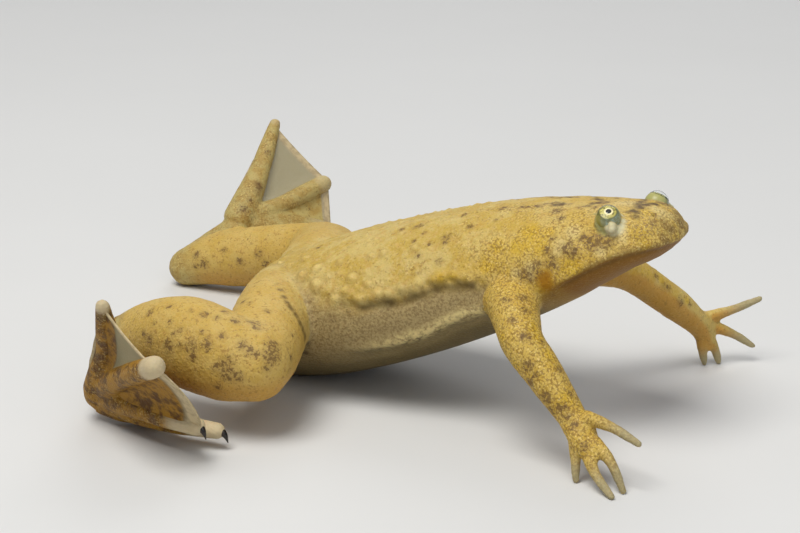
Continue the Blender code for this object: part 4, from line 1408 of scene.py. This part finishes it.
# Painted shade for the lines of folds, pits and notches.
CREASE_SHADE = (0.065, 0.036, 0.012, 1.0)
LID_PALE = (0.62, 0.58, 0.37, 1.0)
LID_GREEN = (0.26, 0.265, 0.11, 1.0)
WEB_CLEAR = (0.36, 0.31, 0.17, 1.0)
WEB_RIM = (0.56, 0.45, 0.26, 1.0)
WEB_RIM_DARK = (0.42, 0.33, 0.19, 1.0)


# Coats over the ground colour of the skin, over the foot's brown and over the flank's grey,
# and above the speckles: mask, strength and colour.
# The plain coat is painted shade on the inner and lower sides of the limbs.
GROUND_COATS = (
    ("busy", 0.6, DEEP_OCHRE), ("legs", 0.6, LEG_OCHRE), ("gold", 0.6, GOLD),
    ("plain", 0.85, PLAIN_SHADED_SKIN),
)
# The jaw's coat is painted shade.
BODY_COATS = (
    ("cream", 0.55, CREAM_AND_HIGHLIGHT), ("shade", 0.85, SHADE), ("jaw", 1.0, SHADED_JAW), ("wart", 0.8, WART),
    ("pale", 1.0, TIP),
)
# The coat of dark lines is painted shade.
LAST_COATS = (
    ("white", 0.95, TOE_WHITE), ("crease_shade", 0.88, CREASE_SHADE), ("lid_green", 0.85, LID_GREEN),
    ("lid_pale", 0.9, LID_PALE),
)


def ground_colour(w, place):
    """Ochre in soft clouds of sand, tan, buff and umber."""
    colour = w.blend(w.spots(place, 0.4, 0.4, 0.6), OCHRE, SAND)
    colour = w.blend(w.product(w.spots(place, 1.3, 0.5, 0.68), 0.7), colour, TAN)
    colour = w.blend(w.product(w.spots(place, 3.2, 0.46, 0.62, 4.0, 0.7), 0.4), colour, BUFF)
    umber = w.spots(w.shaken(place, 4.0, 0.3), 2.1, 0.54, 0.7, 4.0, 0.7)
    return w.blend(w.product(umber, 0.4), colour, UMBER)


def foot_colour(w, clouds, place, darkness):
    """The brown of a foot darkened with painted shadow, or the paler olive of a lit foot that is less
    dark.
    """
    mixed = w.node("ShaderNodeGroup", {"Place": place}, node_tree=clouds).outputs["Clouds"]
    dark = w.blend(mixed, FOOT_BROWN, SHADED_FOOT_DARK)
    light = w.blend(w.product(mixed, 0.45), LIT_FOOT_OLIVE, FOOT_BROWN)
    return w.blend(w.step(darkness, 0.4, 1.0), light, dark)


def speckle_strength(w):
    """How much the speckles show: less on fingertips, on the jaw and belly under painted shade, and on
    the flank.
    """
    under = w.product(w.math("MAXIMUM", w.mask("belly"), w.mask("flank")), 0.7)
    bare = w.math("MAXIMUM", w.product(w.mask("pale"), 0.6), w.product(w.mask("jaw"), 0.85))
    return w.math("SUBTRACT", 1.0, w.math("MAXIMUM", bare, under))


def skin_material(speckle, clouds):
    material, w, shader = new_material("frog_skin", 0.55, Specular_IOR_Level=0.22)
    shader.inputs["Subsurface Weight"].default_value = 0.1
    shader.inputs["Subsurface Radius"].default_value = (1.0, 0.5, 0.25)
    shader.inputs["Subsurface Scale"].default_value = 0.5 * MM
    place, foot = w.place(), w.mask("foot")
    sources = {"Place": place, "Busy": w.mask("busy"), "Blotch": w.mask("blotch")}
    marks = w.node("ShaderNodeGroup", sources, node_tree=speckle).outputs
    strength = speckle_strength(w)
    colour = w.coat(ground_colour(w, place), GROUND_COATS)
    # The feet's brown, with painted shadow on the near foot.
    colour = w.blend(w.step(foot, 0.0, 0.4), colour, foot_colour(w, clouds, place, foot))
    grey = w.blend(w.spots(place, 4.5, 0.44, 0.6, 3.0, 0.65), FLANK_GREY, FLANK_SPECKS)
    colour = w.blend(w.mask("flank"), colour, grey)
    # Painted shade on the belly.
    colour = w.coat(colour, (("belly", 1.0, SHADED_BELLY),))
    patchy = w.spots(place, 2.2, 0.35, 0.6, 3.0, 0.6)
    # A painted highlight along the flank's ridge.
    colour = w.blend(w.product(w.mask("ridge_highlight"), patchy), colour, CREAM_AND_HIGHLIGHT)
    colour = w.coat(colour, BODY_COATS)
    on_legs = w.product(marks["Freckles"], w.mask("legs"), strength, 0.6)
    colour = w.blend(on_legs, colour, FRECKLE)
    colour = w.blend(w.product(marks["Pale grains"], strength, 0.55), colour, GRAINS)
    pepper = w.blend(w.mask("dusk"), PEPPER, DUSK)
    colour = w.blend(w.product(marks["Pepper"], strength, 0.62), colour, pepper)
    colour = w.coat(colour, (("orange", 0.85, ORANGE),))
    haze = w.product(w.mask("blotch"), strength, 0.3)
    colour = w.blend(haze, colour, BLOTCH)
    colour = w.blend(w.product(marks["Blotches"], strength, 0.74), colour, BLOTCH)
    w.feed(shader, Base_Color=w.coat(colour, LAST_COATS))
    w.relief(shader, marks["Grain"], 0.6, 0.13)
    return material


def web_material(speckle, clouds):
    """Pigmented flesh, a clear window between the two outer toes, and a whitish free edge."""
    material, w, shader = new_material("frog_web", 0.5, Specular_IOR_Level=0.15)
    place, flesh, rim = w.place(), w.mask("flesh"), w.mask("rim")
    sources = {"Place": place, "Busy": 0.4, "Blotch": 0.4}
    marks = w.node("ShaderNodeGroup", sources, node_tree=speckle).outputs
    # The webs' brown, with painted shadow on the near foot.
    brown = foot_colour(w, clouds, place, w.mask("dark"))
    brown = w.blend(w.product(marks["Blotches"], 0.7), brown, BLOTCH)
    edge = w.blend(w.spots(place, 2.2, 0.4, 0.65), WEB_RIM, WEB_RIM_DARK)
    solid = w.math("MAXIMUM", flesh, w.product(rim, 0.95))
    colour = w.blend(rim, w.blend(flesh, WEB_CLEAR, brown), edge)
    w.feed(shader, Base_Color=colour, Alpha=w.math("MAXIMUM", solid, 0.72))
    w.relief(shader, w.noise(place, 3.0, 3.0), 0.5, 0.1)
    return material


HORN_BLACK, HORN_BROWN = (0.008, 0.006, 0.005, 1.0), (0.04, 0.026, 0.018, 1.0)


def claw_material():
    material, w, shader = new_material("claw_horn", 0.25, Specular_IOR_Level=0.5)
    place = w.place()
    w.feed(shader, Base_Color=w.blend(w.spots(place, 2.5, 0.4, 0.7), HORN_BLACK, HORN_BROWN))
    w.relief(shader, w.noise(place, 6.0, 2.0), 0.3, 0.05)
    return material


IRIS_SHADE = (0.09, 0.09, 0.03, 1.0)
PUPIL_BLACK = (0.004, 0.004, 0.004, 1.0)
RING_GOLD = (0.90, 0.80, 0.48, 1.0)
IRIS_GOLD = (0.60, 0.52, 0.13, 1.0)
IRIS_FLECKS = (0.15, 0.13, 0.03, 1.0)
EYE_GREEN = (0.29, 0.26, 0.06, 1.0)
EYE_BLUE = (0.26, 0.27, 0.14, 1.0)
EYE_LIGHT = (0.42, 0.40, 0.14, 1.0)
# Painted cyan highlight on the front of the eyeball.
EYE_CYAN_HIGHLIGHT = (0.36, 0.46, 0.40, 1.0)


def eye_material():
    """Black pupil with a gold ring, flecked iris, and sides from green to blue-grey with spots of
    painted cyan highlight at the front.
    """
    material, w, shader = new_material("eye_surface", 0.3, Specular_IOR_Level=0.4)
    place = w.place()

    def degrees(name):
        return w.product(w.mask(name), 180.0)

    iris = w.blend(w.spots(place, 5.5, 0.5, 0.6, 3.0, 0.7), IRIS_GOLD, IRIS_FLECKS)
    iris = w.blend(w.step(degrees("from_pupil"), 27.0, 21.0), iris, RING_GOLD)
    front = w.step(degrees("from_front"), 75.0, 40.0)
    side = w.blend(front, EYE_GREEN, EYE_BLUE)
    side = w.blend(w.step(degrees("from_middle"), 85.0, 50.0), side, EYE_LIGHT)
    # Spots of painted cyan highlight on the front of the eyeball.
    highlight_spots = w.spots(place, 4.0, 0.42, 0.62, 3.0, 0.6)
    side = w.blend(w.product(highlight_spots, front, 0.7), side, EYE_CYAN_HIGHLIGHT)
    from_axis = degrees("from_axis")
    colour = w.blend(w.step(from_axis, 40.0, 47.0), iris, side)
    edge = w.product(w.step(from_axis, 39.0, 43.0), w.step(from_axis, 50.0, 45.0), 0.5)
    colour = w.blend(edge, colour, IRIS_SHADE)
    colour = w.blend(w.step(degrees("from_pupil"), 17.0, 14.5), colour, PUPIL_BLACK)
    w.feed(shader, Base_Color=colour)
    return material


def cornea_material():
    material, w, shader = new_material("cornea", 0.02, IOR=1.08, Transmission_Weight=1.0)
    place = w.place()
    tint = w.blend(w.noise(place, 1.0), (0.97, 0.99, 1.0, 1.0), (1.0, 1.0, 0.97, 1.0))
    w.feed(shader, Base_Color=tint)
    return material


def floor_material():
    material, w, shader = new_material("pale_floor", 0.7, Specular_IOR_Level=0.2)
    where = w.node("ShaderNodeTexCoord").outputs["Object"]
    tint = w.blend(w.noise(where, 30.0, 4.0), (0.66, 0.66, 0.65, 1.0), (0.69, 0.69, 0.68, 1.0))
    w.feed(shader, Base_Color=tint)
    return material


def settle(item, material, slot, *nodes):
    """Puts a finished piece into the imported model's frame, on its body, for its nodes."""
    item.data.transform(TO_MODEL)
    item.data.materials.clear()
    item.data.materials.append(material)
    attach(item, "root")
    if nodes:
        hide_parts(*nodes)


def make_floor():
    bm = bmesh.new()
    bmesh.ops.create_grid(bm, x_segments=1, y_segments=1, size=FLOOR_SIZE / 2)
    floor = as_object("floor", bm)
    floor.data.materials.append(floor_material())


# Lights: azimuth and elevation in degrees, distance and size in metres, power and colour.
LIGHTS = {
    "key": (-10, 68, 0.45, 0.26, 1.75, (1.0, 0.98, 0.94)),
    "fill": (60, 35, 0.5, 0.35, 0.4, (0.94, 0.97, 1.0)),
    "rim": (200, 40, 0.5, 0.3, 0.5, (1.0, 1.0, 1.0)),
}
SKY_COLOUR, SKY_STRENGTH = (0.9, 0.93, 1.0, 1.0), 0.26


def make_light(name, azimuth, elevation, distance, size, power, colour):
    """A soft square light that looks at the frog."""
    a, e = math.radians(azimuth), math.radians(elevation)
    back = Vector((math.sin(a) * math.cos(e), -math.cos(a) * math.cos(e), math.sin(e)))
    data = bpy.data.lights.new(name, "AREA")
    data.size = size
    data.energy = power
    data.color = colour
    light = bpy.data.objects.new(name, data)
    light.location = back * distance
    light.rotation_mode = "QUATERNION"
    light.rotation_quaternion = back.to_track_quat("Z", "Y")
    bpy.context.scene.collection.objects.link(light)


def make_studio():
    make_floor()
    for name, setting in LIGHTS.items():
        make_light(name, *setting)
    world = bpy.data.worlds.new("studio")
    world.use_nodes = True
    sky = world.node_tree.nodes["Background"].inputs
    sky["Color"].default_value, sky["Strength"].default_value = SKY_COLOUR, SKY_STRENGTH
    bpy.context.scene.world = world
    bpy.context.scene.view_settings.view_transform = "Standard"


def make_camera():
    data = bpy.data.cameras.new("camera")
    data.lens = LENS
    data.sensor_width = SENSOR
    data.clip_start, data.clip_end = 0.01, 10.0
    camera = bpy.data.objects.new("camera", data)
    back = camera_back()
    camera.location = TO_MODEL @ (VIEW_TARGET + back * VIEW_DISTANCE)
    camera.rotation_mode = "QUATERNION"
    camera.rotation_quaternion = (-back).to_track_quat("-Z", "Y")
    bpy.context.scene.collection.objects.link(camera)
    bpy.context.scene.camera = camera


def main():
    make_camera()
    make_studio()
    speckle, clouds = speckle_group(), foot_brown_group()
    limbs = all_limbs()
    skin, warts, marks = make_skin(limbs)
    colour_masks(skin, limbs, warts, marks["nostrils"])
    apart = ("eye", "claw")
    flesh = [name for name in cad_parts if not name.startswith(apart)]
    settle(skin, skin_material(speckle, clouds), "skin", *flesh)
    webs, horn = web_material(speckle, clouds), claw_material()
    iris, clear = eye_material(), cornea_material()
    for side, name in SIDE_NAMES.items():
        settle(make_webs(side), webs, "web_skin", f"foot_{name}")
        for digit in range(CLAWED):
            settle(make_claw(side, digit), horn, "claw", f"claw_{name}_{digit + 1}")
        eye, cornea = make_eye(side)
        settle(eye, iris, "eye", f"eye_{name}")
        settle(cornea, clear, "eye")


main()
